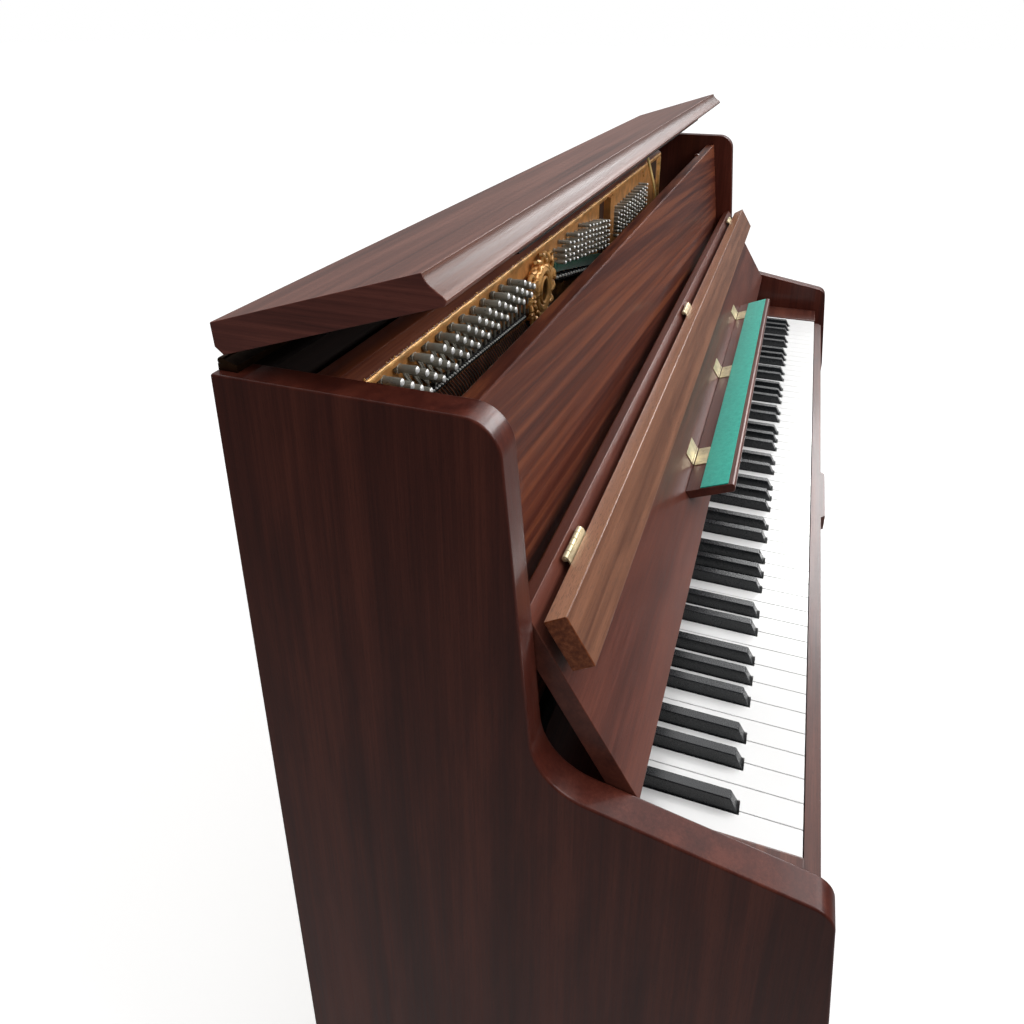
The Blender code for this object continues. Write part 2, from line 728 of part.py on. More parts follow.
def make_back():
    """Beams and posts at the back, the soundboard on their fronts and the pin block above it."""
    x_from, x_to = -HALF_INNER + SEAT, HALF_INNER - SEAT
    rear = POST_FRONT + POST_DEPTH
    beam_top = SIDE_TOP - TOP_BEAM_DROP
    beam_foot = beam_top - TOP_BEAM_HEIGHT
    bottom_top = BOTTOM_BEAM_FOOT + BOTTOM_BEAM_HEIGHT
    beam = box_corners(rear - TOP_BEAM_DEPTH, rear, beam_foot, beam_top)
    bar("back_top_beam", beam, x_from, x_to, mahogany("back_top_beam"))
    bar("back_bottom_beam", box_corners(POST_FRONT, rear, BOTTOM_BEAM_FOOT, bottom_top), x_from, x_to,
        plain_wood("back_bottom_beam"))
    post = box_corners(POST_FRONT, rear, bottom_top + SEAT, beam_foot - SEAT)
    post_x = HALF_INNER - POST_INSET
    for name, x in (("back_post_bass", -post_x), ("back_post_middle", 0), ("back_post_treble", post_x)):
        bar(name, post, x - POST_WIDTH / 2, x + POST_WIDTH / 2, plain_wood(name))

    block_top = KEY_TOP + BLOCK_TOP_RISE
    block_foot = block_top - BLOCK_HEIGHT
    board = box_corners(POST_FRONT - SEAT - SOUNDBOARD_THICKNESS, POST_FRONT - SEAT,
                        KEY_TOP - HITCH_FOOT, block_foot - SOUNDBOARD_UNDER_BLOCK)
    bar("soundboard", board, x_from, x_to, plain_wood("soundboard"))

    block_right = HALF_INNER - PLATE_RIGHT
    block_front = PLATE_REAR + SEAT
    block = box_corners(block_front, block_front + BLOCK_THICKNESS, block_foot, block_top)
    bar("pin_block", block, x_from, block_right, plain_wood("pin_block"))
    rail_front = PLATE_REAR
    rail = box_corners(rail_front, rail_front + TOP_RAIL_DEPTH, block_top + SEAT, KEY_TOP + TOP_RAIL_RISE)
    soften(bar("top_rail", rail, x_from, block_right, mahogany("top_rail")), PANEL_BEVEL)


def make_plate():
    """The iron plate with its rim and strut, the hitch plate below, and the ornament."""
    left, right = -HALF_INNER + PLATE_LEFT, HALF_INNER - PLATE_RIGHT
    top, foot = KEY_TOP + PLATE_TOP_RISE, KEY_TOP + PLATE_FOOT_RISE
    outline = rounded([(left, foot, 0.02), (right, foot, 0.03), (right, top, 0.006), (left, top, 0.006)])
    plate = add("iron_plate", sheet_mesh("iron_plate", [outline], PLATE_FRONT, PLATE_REAR - SEAT),
                bronze("iron_plate"))
    inside = PLATE_FRONT + 0.002
    combine(plate, block_mesh("rim", (left + PLATE_MARGIN, PLATE_FRONT - RIM_PROUD, top - RIM_HEIGHT),
                              (right - PLATE_MARGIN, inside, top - 0.001)))
    strut = block_mesh("strut", (STRUT_X, PLATE_FRONT - STRUT_PROUD, KEY_TOP + LONG_STRING_RISE + 0.005),
                       (STRUT_X + STRUT_WIDTH, inside, top - RIM_HEIGHT + 0.002))
    combine(plate, strut)

    hitch = rounded([
        (-HALF_INNER + SEAT, KEY_TOP - HITCH_FOOT, 0), (HALF_INNER - SEAT, KEY_TOP - HITCH_FOOT, 0),
        (HALF_INNER - SEAT, KEY_TOP - HITCH_TOP, 0), (-HALF_INNER + SEAT, KEY_TOP - HITCH_TOP, 0),
    ])
    sheet("hitch_plate", [hitch], PLATE_FRONT, PLATE_REAR, bronze("hitch_plate"))

    lobes = []
    for step in range(ORNAMENT_LOBES * 4):
        angle = 2 * math.pi * step / (ORNAMENT_LOBES * 4)
        radius = ORNAMENT_RADIUS * (1 + ORNAMENT_WAVE * math.cos(ORNAMENT_LOBES * angle))
        across, up = radius * math.cos(angle), radius * math.sin(angle)
        lobes.append((ORNAMENT_X + across, KEY_TOP + ORNAMENT_RISE + up))
    rear = PLATE_FRONT - SEAT
    sheet("plate_ornament", [lobes], rear - ORNAMENT_THICKNESS, rear, bronze("plate_ornament"))


def bass_spots():
    """Staggered rows that fall a little towards the treble."""
    spots = []
    for row in range(BASS_PIN_ROWS):
        shift = row * BASS_ROW_SHIFT % BASS_PIN_PITCH
        for column in range(BASS_PIN_COLUMNS - min(row, 1)):
            across = column * BASS_PIN_PITCH + shift
            rise = BASS_PINS_RISE - row * BASS_ROW_PITCH - across * BASS_PIN_FALL
            spots.append((BASS_PINS_FROM + across, KEY_TOP + rise))
    return spots


def fine_spots(start, step, columns, foot_rise, climb):
    """Rows that climb away from their start and stop below the plate's rim."""
    spots = []
    for row in range(FINE_PIN_ROWS):
        for column in range(columns):
            across = abs(step) * column
            rise = foot_rise + row * FINE_ROW_PITCH + across * climb
            if rise <= PIN_CEILING_RISE:
                spots.append((start + step * column, KEY_TOP + rise))
    return spots


def make_pins(name, spots, strip, radius, length, tilt, sides):
    """A field of tuning pins in one bushing strip on the plate's front."""
    strip_rear = PLATE_FRONT - SEAT
    field = add(name, sheet_mesh(name, [strip], strip_rear - STRIP_THICKNESS, strip_rear), steel(name))
    direction = (0, -math.cos(tilt), math.sin(tilt))
    pin = rod_mesh(name + "_pin", radius, length, direction, sides)
    root = strip_rear - PIN_ROOT
    combine(field, repeated(name + "_pins", pin, [(x, root, z) for x, z in spots]))


def make_tuning_pins():
    spots = bass_spots()
    left = BASS_PINS_FROM - BASS_STRIP_END
    right = BASS_PINS_FROM + (BASS_PIN_COLUMNS - 1) * BASS_PIN_PITCH + BASS_STRIP_END
    fall = (right - left) * BASS_PIN_FALL
    top = KEY_TOP + BASS_PINS_RISE + BASS_PIN_RADIUS + BASS_STRIP_MARGIN
    foot = top - (BASS_PIN_ROWS - 1) * BASS_ROW_PITCH - 2 * (BASS_PIN_RADIUS + BASS_STRIP_MARGIN)
    strip = [(left, foot), (right, foot - fall), (right, top - fall), (left, top)]
    make_pins("bass_pins", spots, strip, BASS_PIN_RADIUS, BASS_PIN_LENGTH, BASS_PIN_TILT, 8)

    spots = fine_spots(TENOR_PINS_TO, -TENOR_PIN_PITCH, TENOR_PIN_COLUMNS, TENOR_PINS_RISE, TENOR_PIN_CLIMB)
    span = (TENOR_PIN_COLUMNS - 1) * TENOR_PIN_PITCH
    left, right = TENOR_PINS_TO - span - STRIP_MARGIN, TENOR_PINS_TO + STRIP_MARGIN
    foot = KEY_TOP + TENOR_PINS_RISE - STRIP_MARGIN
    top = KEY_TOP + PIN_CEILING_RISE + STRIP_TOP_MARGIN
    climb = (right - left) * TENOR_PIN_CLIMB
    strip = [(left, foot + climb), (right, foot), (right, top), (left, top)]
    make_pins("tenor_pins", spots, strip, FINE_PIN_RADIUS, FINE_PIN_LENGTH, FINE_PIN_TILT, 6)

    band_top = foot - SEAT - FELT_BAND_DROP + STRIP_MARGIN
    band = [(left, band_top - FELT_BAND_HEIGHT + climb), (right, band_top - FELT_BAND_HEIGHT),
            (right, band_top), (left, band_top + climb)]
    rear = PLATE_FRONT - SEAT
    sheet("felt_band", [band], rear - FELT_BAND_THICKNESS, rear, felt("felt_band", (0.01, 0.10, 0.06)))

    spots = fine_spots(TREBLE_PINS_FROM, TREBLE_PIN_PITCH, TREBLE_PIN_COLUMNS, TREBLE_PINS_RISE,
                       TREBLE_PIN_CLIMB)
    span = (TREBLE_PIN_COLUMNS - 1) * TREBLE_PIN_PITCH
    left, right = TREBLE_PINS_FROM - STRIP_MARGIN, TREBLE_PINS_FROM + span + STRIP_MARGIN
    foot = KEY_TOP + TREBLE_PINS_RISE - STRIP_MARGIN
    climb = (right - left) * TREBLE_PIN_CLIMB
    strip = [(left, foot), (right, foot + climb), (right, top), (left, top)]
    make_pins("treble_pins", spots, strip, FINE_PIN_RADIUS, FINE_PIN_LENGTH, FINE_PIN_TILT, 6)


def make_strings():
    """All strings between their two bearing bars, and the bridge behind them."""
    pitch = (STRINGS_TO - STRINGS_FROM) / STRING_COUNT
    foot = KEY_TOP - HITCH_TOP - STRINGS_PAST_HITCH_TOP
    bass_top, long_top = KEY_TOP + BASS_STRING_RISE, KEY_TOP + LONG_STRING_RISE
    left, right = STRINGS_FROM, STRINGS_TO + STRING_WIDTH
    step_x = STRINGS_FROM + BASS_STRING_COUNT * pitch + STRING_WIDTH
    outer = [(left, foot), (right, foot), (right, long_top), (step_x, long_top), (step_x, bass_top),
             (left, bass_top)]
    rings = [outer]
    for number in range(STRING_COUNT):
        top = (bass_top if number < BASS_STRING_COUNT else long_top) - STRING_BAR
        start = STRINGS_FROM + number * pitch + STRING_WIDTH
        rings.append(box_corners(start, start + pitch - STRING_WIDTH, foot + STRING_BAR, top))
    sheet("strings", rings, STRING_PLANE, STRING_PLANE + STRING_THICKNESS,
          coat("strings", (0.36, 0.18, 0.09), 0.35, 1.0))

    upper, lower = [], []
    for step in range(13):
        share = step / 12
        x = BRIDGE_FROM + (BRIDGE_TO - BRIDGE_FROM) * share
        z = KEY_TOP - BRIDGE_DROP + BRIDGE_CLIMB * (1 - math.cos(math.pi * share)) / 2
        upper.append((x, z + BRIDGE_WIDTH / 2))
        lower.append((x, z - BRIDGE_WIDTH / 2))
    bridge_rear = POST_FRONT - 2 * SEAT - SOUNDBOARD_THICKNESS
    sheet("bridge", [lower + upper[::-1]], PLATE_FRONT, bridge_rear, plain_wood("bridge"))


def make_action():
    """The action rail from side to side, the hammers and the dampers that turn on it."""
    x_from, x_to = -HALF_INNER + SEAT, HALF_INNER - SEAT
    rail_foot = KEY_TOP + ACTION_RISE
    rail_top = rail_foot + ACTION_HEIGHT
    rail = box_corners(ACTION_FRONT, ACTION_FRONT + ACTION_DEPTH, rail_foot, rail_top)
    bar("action_rail", rail, x_from, x_to, plain_wood("action_rail"))

    roller_z = rail_top + SEAT + ROLLER_RADIUS
    spread = (HAMMER_COUNT - 1) * HAMMER_PITCH + HAMMER_WIDTH
    half, head, crown = SHANK_THICKNESS / 2, SHANK_LENGTH, SHANK_LENGTH + HEAD_HEIGHT
    hammer = [(-half, 0), (half, 0), (half, head - 0.002), (HEAD_FRONT, head), (HEAD_FRONT, crown - 0.008),
              (-HEAD_BACK + 0.002, crown), (-HEAD_BACK, head), (-half, head - 0.002)]
    low, high = DAMPER_RISE, DAMPER_RISE + DAMPER_HEIGHT
    damper = [(-0.002, 0), (0.002, 0), (DAMPER_BEND, low - 0.006), (DAMPER_REACH, low), (DAMPER_REACH, high),
              (DAMPER_BEND, high), (DAMPER_BEND - 0.003, low)]
    make_row("hammers", hammer, HAMMER_AXIS, roller_z, HAMMER_COUNT, spread,
             coat("hammers", (0.55, 0.50, 0.42), 0.9))
    damper_spread = (DAMPER_COUNT - 1) * HAMMER_PITCH + HAMMER_WIDTH
    make_row("dampers", damper, DAMPER_AXIS, roller_z, DAMPER_COUNT, damper_spread,
             coat("dampers", (0.50, 0.44, 0.36), 0.9))


def make_row(name, profile, axis_y, axis_z, count, spread, finish):
    """A roller with one arm for each note."""
    roller = rod_mesh(name, ROLLER_RADIUS, spread + 2 * ROLLER_PAST_ARMS, (1, 0, 0), 12)
    roller.transform(translation((HAMMER_FROM - ROLLER_PAST_ARMS, 0, 0)))
    row = add(name, roller, finish, (0, axis_y, axis_z), parent=axis(name + "_axis", (0, axis_y, axis_z)))
    arm = bar_mesh(name + "_arm", profile, 0, HAMMER_WIDTH)
    places = [(HAMMER_FROM + number * HAMMER_PITCH, 0, 0) for number in range(count)]
    combine(row, repeated(name + "_arms", arm, places))


def open_lid(ahead, up):
    """A point of the closed lid, ahead of and above its hinge axis, once the lid is propped open."""
    sine, cosine = math.sin(LID_OPEN), math.cos(LID_OPEN)
    rise = ahead * sine + up * cosine
    return (LID_AXIS - ahead * cosine + up * sine, KEY_TOP + LID_AXIS_RISE + rise)


def make_lid():
    """The lid with its coved front edge, its long hinge, and the curved stay that holds it up."""
    under = LID_KNUCKLE + SEAT
    top = under + LID_THICKNESS
    cove_up = top - under - LID_LIP
    profile = [(-LID_REAR_REACH + LID_REAR_CHAMFER, under), (-LID_REAR_REACH, under + 2 * LID_REAR_CHAMFER),
               (LID_REAR_LEAN, top + 0.001)]
    for step in range(6):
        turn = math.pi / 2 * step / 5
        ahead = LID_ARRIS + (LID_FRONT - LID_ARRIS) * (1 - math.cos(turn))
        profile.append((ahead, top - cove_up * math.sin(turn)))
    profile.append((LID_FRONT, under + LID_LIP - LID_NOSE))
    profile.append((LID_FRONT - LID_NOSE, under))
    half = HALF_INNER + LID_OVERHANG
    pivot = (LID_AXIS, KEY_TOP + LID_AXIS_RISE)
    lid_axis = axis("lid_axis", (0, *pivot))
    points = [open_lid(ahead, up) for ahead, up in profile]
    soften(bar("lid", points, -half, half, mahogany("lid"), pivot, lid_axis), PANEL_BEVEL)

    front = LID_FRONT - BATTEN_FROM_FRONT
    batten_top = under - SEAT
    strip = box_corners(front - BATTEN_WIDTH, front, batten_top - BATTEN_DEPTH, batten_top)
    reach = HALF_INNER - BATTEN_INSET
    bar("lid_batten", [open_lid(ahead, up) for ahead, up in strip], -reach, reach,
        coat("lid_batten", (0.02, 0.02, 0.02), 0.8), pivot, lid_axis)

    riser_foot = SIDE_TOP + SEAT
    riser_top = pivot[1] - LID_KNUCKLE + 0.001
    turned = [math.radians(-150 + 300 * step / 10) for step in range(11)]
    knuckle = [(LID_AXIS + LID_KNUCKLE * math.cos(angle), pivot[1] + LID_KNUCKLE * math.sin(angle))
               for angle in turned]
    knuckle = [(y, z) for y, z in knuckle if z > riser_top]
    riser = [(LID_AXIS - LID_LEAF, riser_top), (LID_AXIS - LID_LEAF, riser_foot),
             (LID_AXIS + LID_KNUCKLE, riser_foot), (LID_AXIS + LID_KNUCKLE, riser_top)]
    bar("lid_hinge", riser + knuckle, -half, half, brass("lid_hinge"))

    ahead, up = STAY_REACH, under - SEAT - STAY_KNUCKLE
    stay_axis = open_lid(ahead, up)
    mount = axis("stay_axis", (STAY_X, *stay_axis), lid_axis)
    knuckle_mesh = rod_mesh("lid_stay", STAY_KNUCKLE, STAY_KNUCKLE_WIDTH, (1, 0, 0), 16)
    knuckle_mesh.transform(translation((-STAY_KNUCKLE_WIDTH / 2, 0, 0)))
    stay = add("lid_stay", knuckle_mesh, brass("lid_stay"), (STAY_X, *stay_axis), parent=mount)
    combine(stay, mesh_of(stay_tube()))


def stay_tube():
    """The stay's bent rod, hanging from its knuckle."""
    curve = bpy.data.curves.new("stay_rod", "CURVE")
    curve.dimensions = "3D"
    curve.bevel_depth = STAY_RADIUS
    curve.bevel_resolution = 2
    curve.use_fill_caps = True
    spline = curve.splines.new("POLY")
    count = 10
    spline.points.add(count - 1)
    for step, point in enumerate(spline.points):
        share = step / (count - 1)
        point.co = (0, -STAY_BACK * math.sin(share * math.pi / 2), -STAY_DROP * share, 1)
    return curve


def make_fallboard():
    """The open fallboard on its two pins, with the flap and the music shelf hinged to its face."""
    half = HALF_INNER - FALL_END_GAP
    fall_axis = axis("fallboard_axis", (0, *FALL_AXIS))
    profile = fall_profile([
        (0, 0, 0.003), (FALL_LENGTH, 0, 0.002), (FALL_LENGTH, -FALL_THICKNESS, 0.002),
        (0, -FALL_THICKNESS, 0.004),
    ], 2)
    board = add("fallboard", bar_mesh("fallboard", profile, -half, half, FALL_AXIS), mahogany("fallboard"),
                (0, *FALL_AXIS), parent=fall_axis)
    length = FALL_PIN_ROOT + FALL_END_GAP + FALL_PIN_LENGTH
    pin = rod_mesh("pin", FALL_PIN_RADIUS, length, (1, 0, 0), 16)
    reach = half - FALL_PIN_ROOT
    combine(board, repeated("pins", pin, [(reach, 0, 0), (-reach - length, 0, 0)]))
    make_flap(fall_axis)
    make_shelf(fall_axis)


def make_flap(fall_axis):
    """The front flap, folded against the open fallboard's face, with three knuckled hinges."""
    half = HALF_INNER - FLAP_END_GAP
    near, far = FLAP_GAP, FLAP_GAP + FLAP_THICKNESS
    profile = fall_profile([
        (FLAP_TOP - FLAP_HEIGHT, near, 0.001), (FLAP_TOP, near, 0.001), (FLAP_TOP, far, 0.0015),
        (FLAP_TOP - FLAP_HEIGHT, far, 0.0015),
    ], 2)
    flap_axis = axis("flap_axis", (0, *FLAP_AXIS), fall_axis)
    flap = add("flap", bar_mesh("flap", profile, -half, half, FLAP_AXIS), tan_mahogany("flap"),
               (0, *FLAP_AXIS), parent=flap_axis)
    centre_u, centre_n = FLAP_TOP + KNUCKLE_AHEAD, KNUCKLE_RADIUS + SEAT
    leaf_out = FLAP_GAP - centre_n + 0.0014
    outline = []
    for step in range(10):
        angle = math.radians(90 - 278 * step / 9)
        across, out = KNUCKLE_RADIUS * math.cos(angle), KNUCKLE_RADIUS * math.sin(angle)
        outline.append((centre_u + across, centre_n + out))
    outline.append((centre_u - 0.016, centre_n + 0.0006))
    outline.append((centre_u - 0.016, centre_n + leaf_out))
    outline.append((centre_u - KNUCKLE_AHEAD - 0.0006, centre_n + leaf_out))
    hinge = bar_mesh("flap_hinge", [up_the_fall(u, n) for u, n in outline], -FLAP_HINGE_WIDTH / 2,
                     FLAP_HINGE_WIDTH / 2, FLAP_AXIS)
    combine(flap, repeated("flap_hinges", hinge, [(x, 0, 0) for x in FLAP_HINGES]))


def make_shelf(fall_axis):
    """The music shelf that stands out from the face and droops a little, and the felt on it."""
    x_to = SHELF_FROM + SHELF_WIDTH
    rear_foot = SHELF_THICKNESS * math.tan(SHELF_DROOP)
    profile = fall_profile([
        (*on_the_shelf(0), 0), (*on_the_shelf(SHELF_DEPTH), SHELF_NOSE),
        (*on_the_shelf(SHELF_DEPTH - SHELF_LIP_SETBACK, SHELF_THICKNESS), SHELF_NOSE),
        (*on_the_shelf(rear_foot, SHELF_THICKNESS), 0),
    ])
    shelf_axis = axis("shelf_axis", (0, *SHELF_AXIS), fall_axis)
    bar("music_shelf", profile, SHELF_FROM, x_to, mahogany("music_shelf"), SHELF_AXIS, shelf_axis)
    pad = box_corners(FELT_FROM, FELT_FROM + FELT_DEPTH, -SEAT - FELT_THICKNESS, -SEAT)
    pad = [up_the_fall(*on_the_shelf(out, down)) for out, down in pad]
    bar("shelf_felt", pad, SHELF_FROM + FELT_INSET, x_to - FELT_INSET,
        felt("shelf_felt", (0.05, 0.38, 0.26)), SHELF_AXIS, shelf_axis)


LETTERS = ("c", "cs", "d", "ds", "e", "f", "fs", "g", "gs", "a", "as", "b")


def keyboard():
    """Every key from the lowest up: its name, whether it is a sharp, its front edges and its tail's edges."""
    keys = []
    natural = 0
    for number in range(KEY_COUNT):
        letter = (number + FIRST_LETTER) % 12
        octave = (number + FIRST_LETTER) // 12
        first, naturals = (0, 3) if letter < 5 else (5, 4)
        step = letter - first
        tail = (naturals * NATURAL_PITCH - (naturals - 1) * SHARP_SLOT) / naturals
        name = f"{LETTERS[letter]}{octave}"
        if step % 2:
            group_left = KEYS_LEFT + (natural - 1 - (step - 1) // 2) * NATURAL_PITCH
            left = group_left + (step + 1) // 2 * tail + (step - 1) // 2 * SHARP_SLOT
            keys.append((name, octave, True, left, left + SHARP_SLOT, left, left + SHARP_SLOT))
            continue
        left = KEYS_LEFT + natural * NATURAL_PITCH
        right = left + NATURAL_PITCH
        group_left = left - step // 2 * NATURAL_PITCH
        tail_left = group_left + step // 2 * (tail + SHARP_SLOT)
        tail_right = tail_left + tail
        if number == 0:
            tail_left = left
        if number == KEY_COUNT - 1:
            tail_right = right
        keys.append((name, octave, False, left, right, tail_left, tail_right))
        natural += 1
    return keys


def natural_ring(left, right, tail_left, tail_right):
    """A natural's plan, measured back from the balance rail: wide front, narrower tail."""
    gap = KEY_GAP / 2
    neck = SHARP_FRONT - NOTCH_GAP - BALANCE
    front, rear = -BALANCE, KEY_LENGTH - BALANCE
    ring = [(left + gap, front), (right - gap, front)]
    if tail_right < right - 1e-6:
        ring += [(right - gap, neck), (tail_right - gap, neck)]
    ring += [(tail_right - gap, rear), (tail_left + gap, rear)]
    if tail_left > left + 1e-6:
        ring += [(tail_left + gap, neck), (left + gap, neck)]
    return ring


def sharp_profile():
    """A sharp from the side, about the balance rail: slanted head, and room below for the naturals' rail."""
    arch_from = NATURAL_RAIL_FROM - NATURAL_RAIL_CLEARANCE
    arch_to = NATURAL_RAIL_FROM + NATURAL_RAIL_WIDTH + NATURAL_RAIL_CLEARANCE
    arch_top = NATURAL_RAIL_CLEARANCE
    hump_from = SHARP_RAIL_FROM - SHARP_RAIL_CLEARANCE
    hump_to = SHARP_RAIL_FROM + SHARP_RAIL_WIDTH + SHARP_RAIL_CLEARANCE
    hump_top = STICK_DEPTH + RAIL_RISE + SHARP_RAIL_THICKNESS + 0.0005
    head_top = STICK_DEPTH + SHARP_HEIGHT
    points = [
        (SHARP_FRONT, 0), (arch_from, 0), (arch_from, arch_top), (arch_to, arch_top), (arch_to, 0),
        (KEY_LENGTH, 0), (KEY_LENGTH, STICK_DEPTH), (hump_to, STICK_DEPTH), (hump_to, hump_top),
        (hump_from, hump_top), (hump_from, STICK_DEPTH), (SHARP_END + 0.002, STICK_DEPTH),
        (SHARP_END, head_top), (SHARP_FRONT + SHARP_SLANT + 0.003, head_top),
        (SHARP_FRONT + SHARP_SLANT, head_top - 0.002), (SHARP_FRONT, STICK_DEPTH + 0.0005),
    ]
    return [(y - BALANCE, z) for y, z in points]


def make_keys():
    """The middle octave as single keys; below and above it, a set of naturals and a set of sharps."""
    keys = keyboard()
    pivot = (0, BALANCE, STICK_BOTTOM)
    ivory, ebony = (0.86, 0.86, 0.84), (0.012, 0.012, 0.014)
    sharp_width = SHARP_SLOT - KEY_GAP
    sharp = bar_mesh("sharp", sharp_profile(), -sharp_width / 2, sharp_width / 2)
    for name, octave, is_sharp, left, right, tail_left, tail_right in keys:
        if octave != 4:
            continue
        finish = coat("key_" + name, ebony if is_sharp else ivory, 0.2)
        middle = (left + right) / 2
        if is_sharp:
            mesh = sharp.copy()
            mesh.name = "key_" + name
        else:
            ring = natural_ring(left - middle, right - middle, tail_left - middle, tail_right - middle)
            mesh = mesh_of(filled("key_" + name, [ring], STICK_DEPTH), shift=(0, 0, STICK_DEPTH / 2))
        add("key_" + name, mesh, finish, (middle, *pivot[1:]))
    low_keys = [key for key in keys if key[1] < 4]
    high_keys = [key for key in keys if key[1] > 4]
    for set_name, chosen in (("bass", low_keys), ("treble", high_keys)):
        naturals = [k for k in chosen if not k[2]]
        sharps = [k for k in chosen if k[2]]
        rings = [natural_ring(*k[3:]) for k in naturals]
        blanks = mesh_of(filled(set_name, rings, STICK_DEPTH), shift=(0, 0, STICK_DEPTH / 2))
        name = set_name + "_naturals"
        gang = add(name, blanks, coat(name, ivory, 0.2), pivot)
        low = (naturals[0][5] + 0.003, NATURAL_RAIL_FROM - BALANCE, -RAIL_RISE + 0.0005)
        high = (naturals[-1][6] - 0.003, NATURAL_RAIL_FROM + NATURAL_RAIL_WIDTH - BALANCE, 0.0005)
        combine(gang, block_mesh(name + "_rail", low, high))
        name = set_name + "_sharps"
        blanks = repeated(name, sharp, [((k[3] + k[4]) / 2, 0, 0) for k in sharps])
        gang = add(name, blanks, coat(name, ebony, 0.2), pivot)
        foot = STICK_DEPTH + RAIL_RISE
        low = (sharps[0][3] + 0.003, SHARP_RAIL_FROM - BALANCE, foot)
        rear = SHARP_RAIL_FROM + SHARP_RAIL_WIDTH - BALANCE
        high = (sharps[-1][4] - 0.003, rear, foot + SHARP_RAIL_THICKNESS)
        combine(gang, block_mesh(name + "_rail", low, high))


def make_pedals():
    """Two pedals that rock on the bottom board's ridge, each with the rod that it lifts."""
    pad = PEDAL_TIP + PEDAL_PAD
    neck = pad + PEDAL_NECK
    outline = rounded([
        (-PEDAL_WIDTH / 2, PEDAL_TIP, PEDAL_CORNER), (PEDAL_WIDTH / 2, PEDAL_TIP, PEDAL_CORNER),
        (PEDAL_WIDTH / 2, pad, PEDAL_NECK_RADIUS), (PEDAL_STEM / 2, neck, 0),
        (PEDAL_STEM / 2, PEDAL_REAR, 0), (-PEDAL_STEM / 2, PEDAL_REAR, 0),
        (-PEDAL_STEM / 2, neck, 0), (-PEDAL_WIDTH / 2, pad, PEDAL_NECK_RADIUS),
    ])
    about_axis = [(x, y - PEDAL_AXIS) for x, y in outline]
    rod_foot = PEDAL_HEIGHT + PEDAL_THICKNESS + SEAT
    rod_length = KEY_TOP + ROD_TOP_RISE - rod_foot
    for use, x in (("soft", -PEDAL_X), ("sustain", PEDAL_X)):
        name = use + "_pedal"
        mesh = mesh_of(filled(name, [about_axis], PEDAL_THICKNESS), shift=(0, 0, PEDAL_THICKNESS / 2))
        add(name, mesh, brass(name), (x, PEDAL_AXIS, PEDAL_HEIGHT))
        rod = rod_mesh(use + "_rod", ROD_RADIUS, rod_length, (0, 0, 1), 10)
        add(use + "_rod", rod, plain_wood(use + "_rod"), (x, ROD_Y, rod_foot))


make_case()
make_back()
make_plate()
make_tuning_pins()
make_strings()
make_action()
make_lid()
make_fallboard()
make_keys()
make_pedals()
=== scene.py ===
"""The looks of the small console piano: veneer, felt, brass, tuning pins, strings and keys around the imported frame."""

import math
import random

import bmesh
import bpy
from mathutils import Matrix, Vector


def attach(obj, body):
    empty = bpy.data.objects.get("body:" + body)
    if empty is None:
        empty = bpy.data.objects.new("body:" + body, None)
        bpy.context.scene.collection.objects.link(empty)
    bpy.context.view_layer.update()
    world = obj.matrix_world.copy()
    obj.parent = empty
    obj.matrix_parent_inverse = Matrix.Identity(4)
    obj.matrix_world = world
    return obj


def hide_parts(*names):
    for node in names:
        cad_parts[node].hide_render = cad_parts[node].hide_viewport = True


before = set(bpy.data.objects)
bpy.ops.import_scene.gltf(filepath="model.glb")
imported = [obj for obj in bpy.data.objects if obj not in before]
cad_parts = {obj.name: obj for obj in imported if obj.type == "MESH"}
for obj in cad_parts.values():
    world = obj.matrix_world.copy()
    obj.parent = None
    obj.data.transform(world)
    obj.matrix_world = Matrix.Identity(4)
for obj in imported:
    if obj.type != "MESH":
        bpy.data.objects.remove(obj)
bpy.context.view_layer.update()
DICE = random.Random(7)

# Sizes repeated from the part's source, measured from the key fronts (y), the floor (z) and the middle (x)
DEPTH_CENTRE = 0.192
KEY_TOP = 0.735
HALF_INNER = 0.670
SIDE_THICKNESS = 0.025
SIDE_TOP = KEY_TOP + 0.367
CASE_REAR = 0.416
CASE_FRONT = -0.032
TOE_FRONT = 0.030
NATURAL_PITCH = 0.02356
KEYS_LEFT = -HALF_INNER + 0.047
KEY_COUNT = 88
FIRST_LETTER = 9
STICK_DEPTH = 0.022
KEY_LENGTH = 0.300
SHARP_SLOT = 0.0122
SHARP_FRONT = 0.050
SHARP_HEIGHT = 0.012
SHARP_END = 0.150
FALL_FOOT = 0.118
FALL_FOOT_RISE = 0.066
FALL_LEAN = math.radians(31)
FALL_LENGTH = 0.168
FALL_THICKNESS = 0.0174
FLAP_TOP = 0.1575
FLAP_HEIGHT = 0.042
FLAP_THICKNESS = 0.019
FLAP_GAP = 0.008
FLAP_AXIS_UP = FLAP_TOP + 0.004
FLAP_AXIS_OUT = 0.0044
FLAP_HINGES = (-0.580, 0.001, 0.589)
SHELF_UP = 0.0466
SHELF_DEPTH = 0.0558
SHELF_DROOP = math.radians(8.8)
SHELF_THICKNESS = 0.0095
SHELF_FROM = -0.3173
SHELF_TO = 0.3393
SHELF_HINGES = (-0.240, 0.018, 0.276)
FELT_FROM = 0.0170
FELT_DEPTH = 0.0310
LID_OPEN = math.radians(18.1)
LID_AXIS = 0.411
LID_AXIS_Z = KEY_TOP + 0.374
LID_UNDER = 0.0033
LID_TOP = 0.0258
LID_FRONT = 0.1755
LID_ARRIS = 0.166
STAY_X = 0.360
PLATE_LEFT = -0.658
PLATE_RIGHT = 0.517
PLATE_FRONT = 0.338
PLATE_TOP = KEY_TOP + 0.347
ORNAMENT_X = -0.258

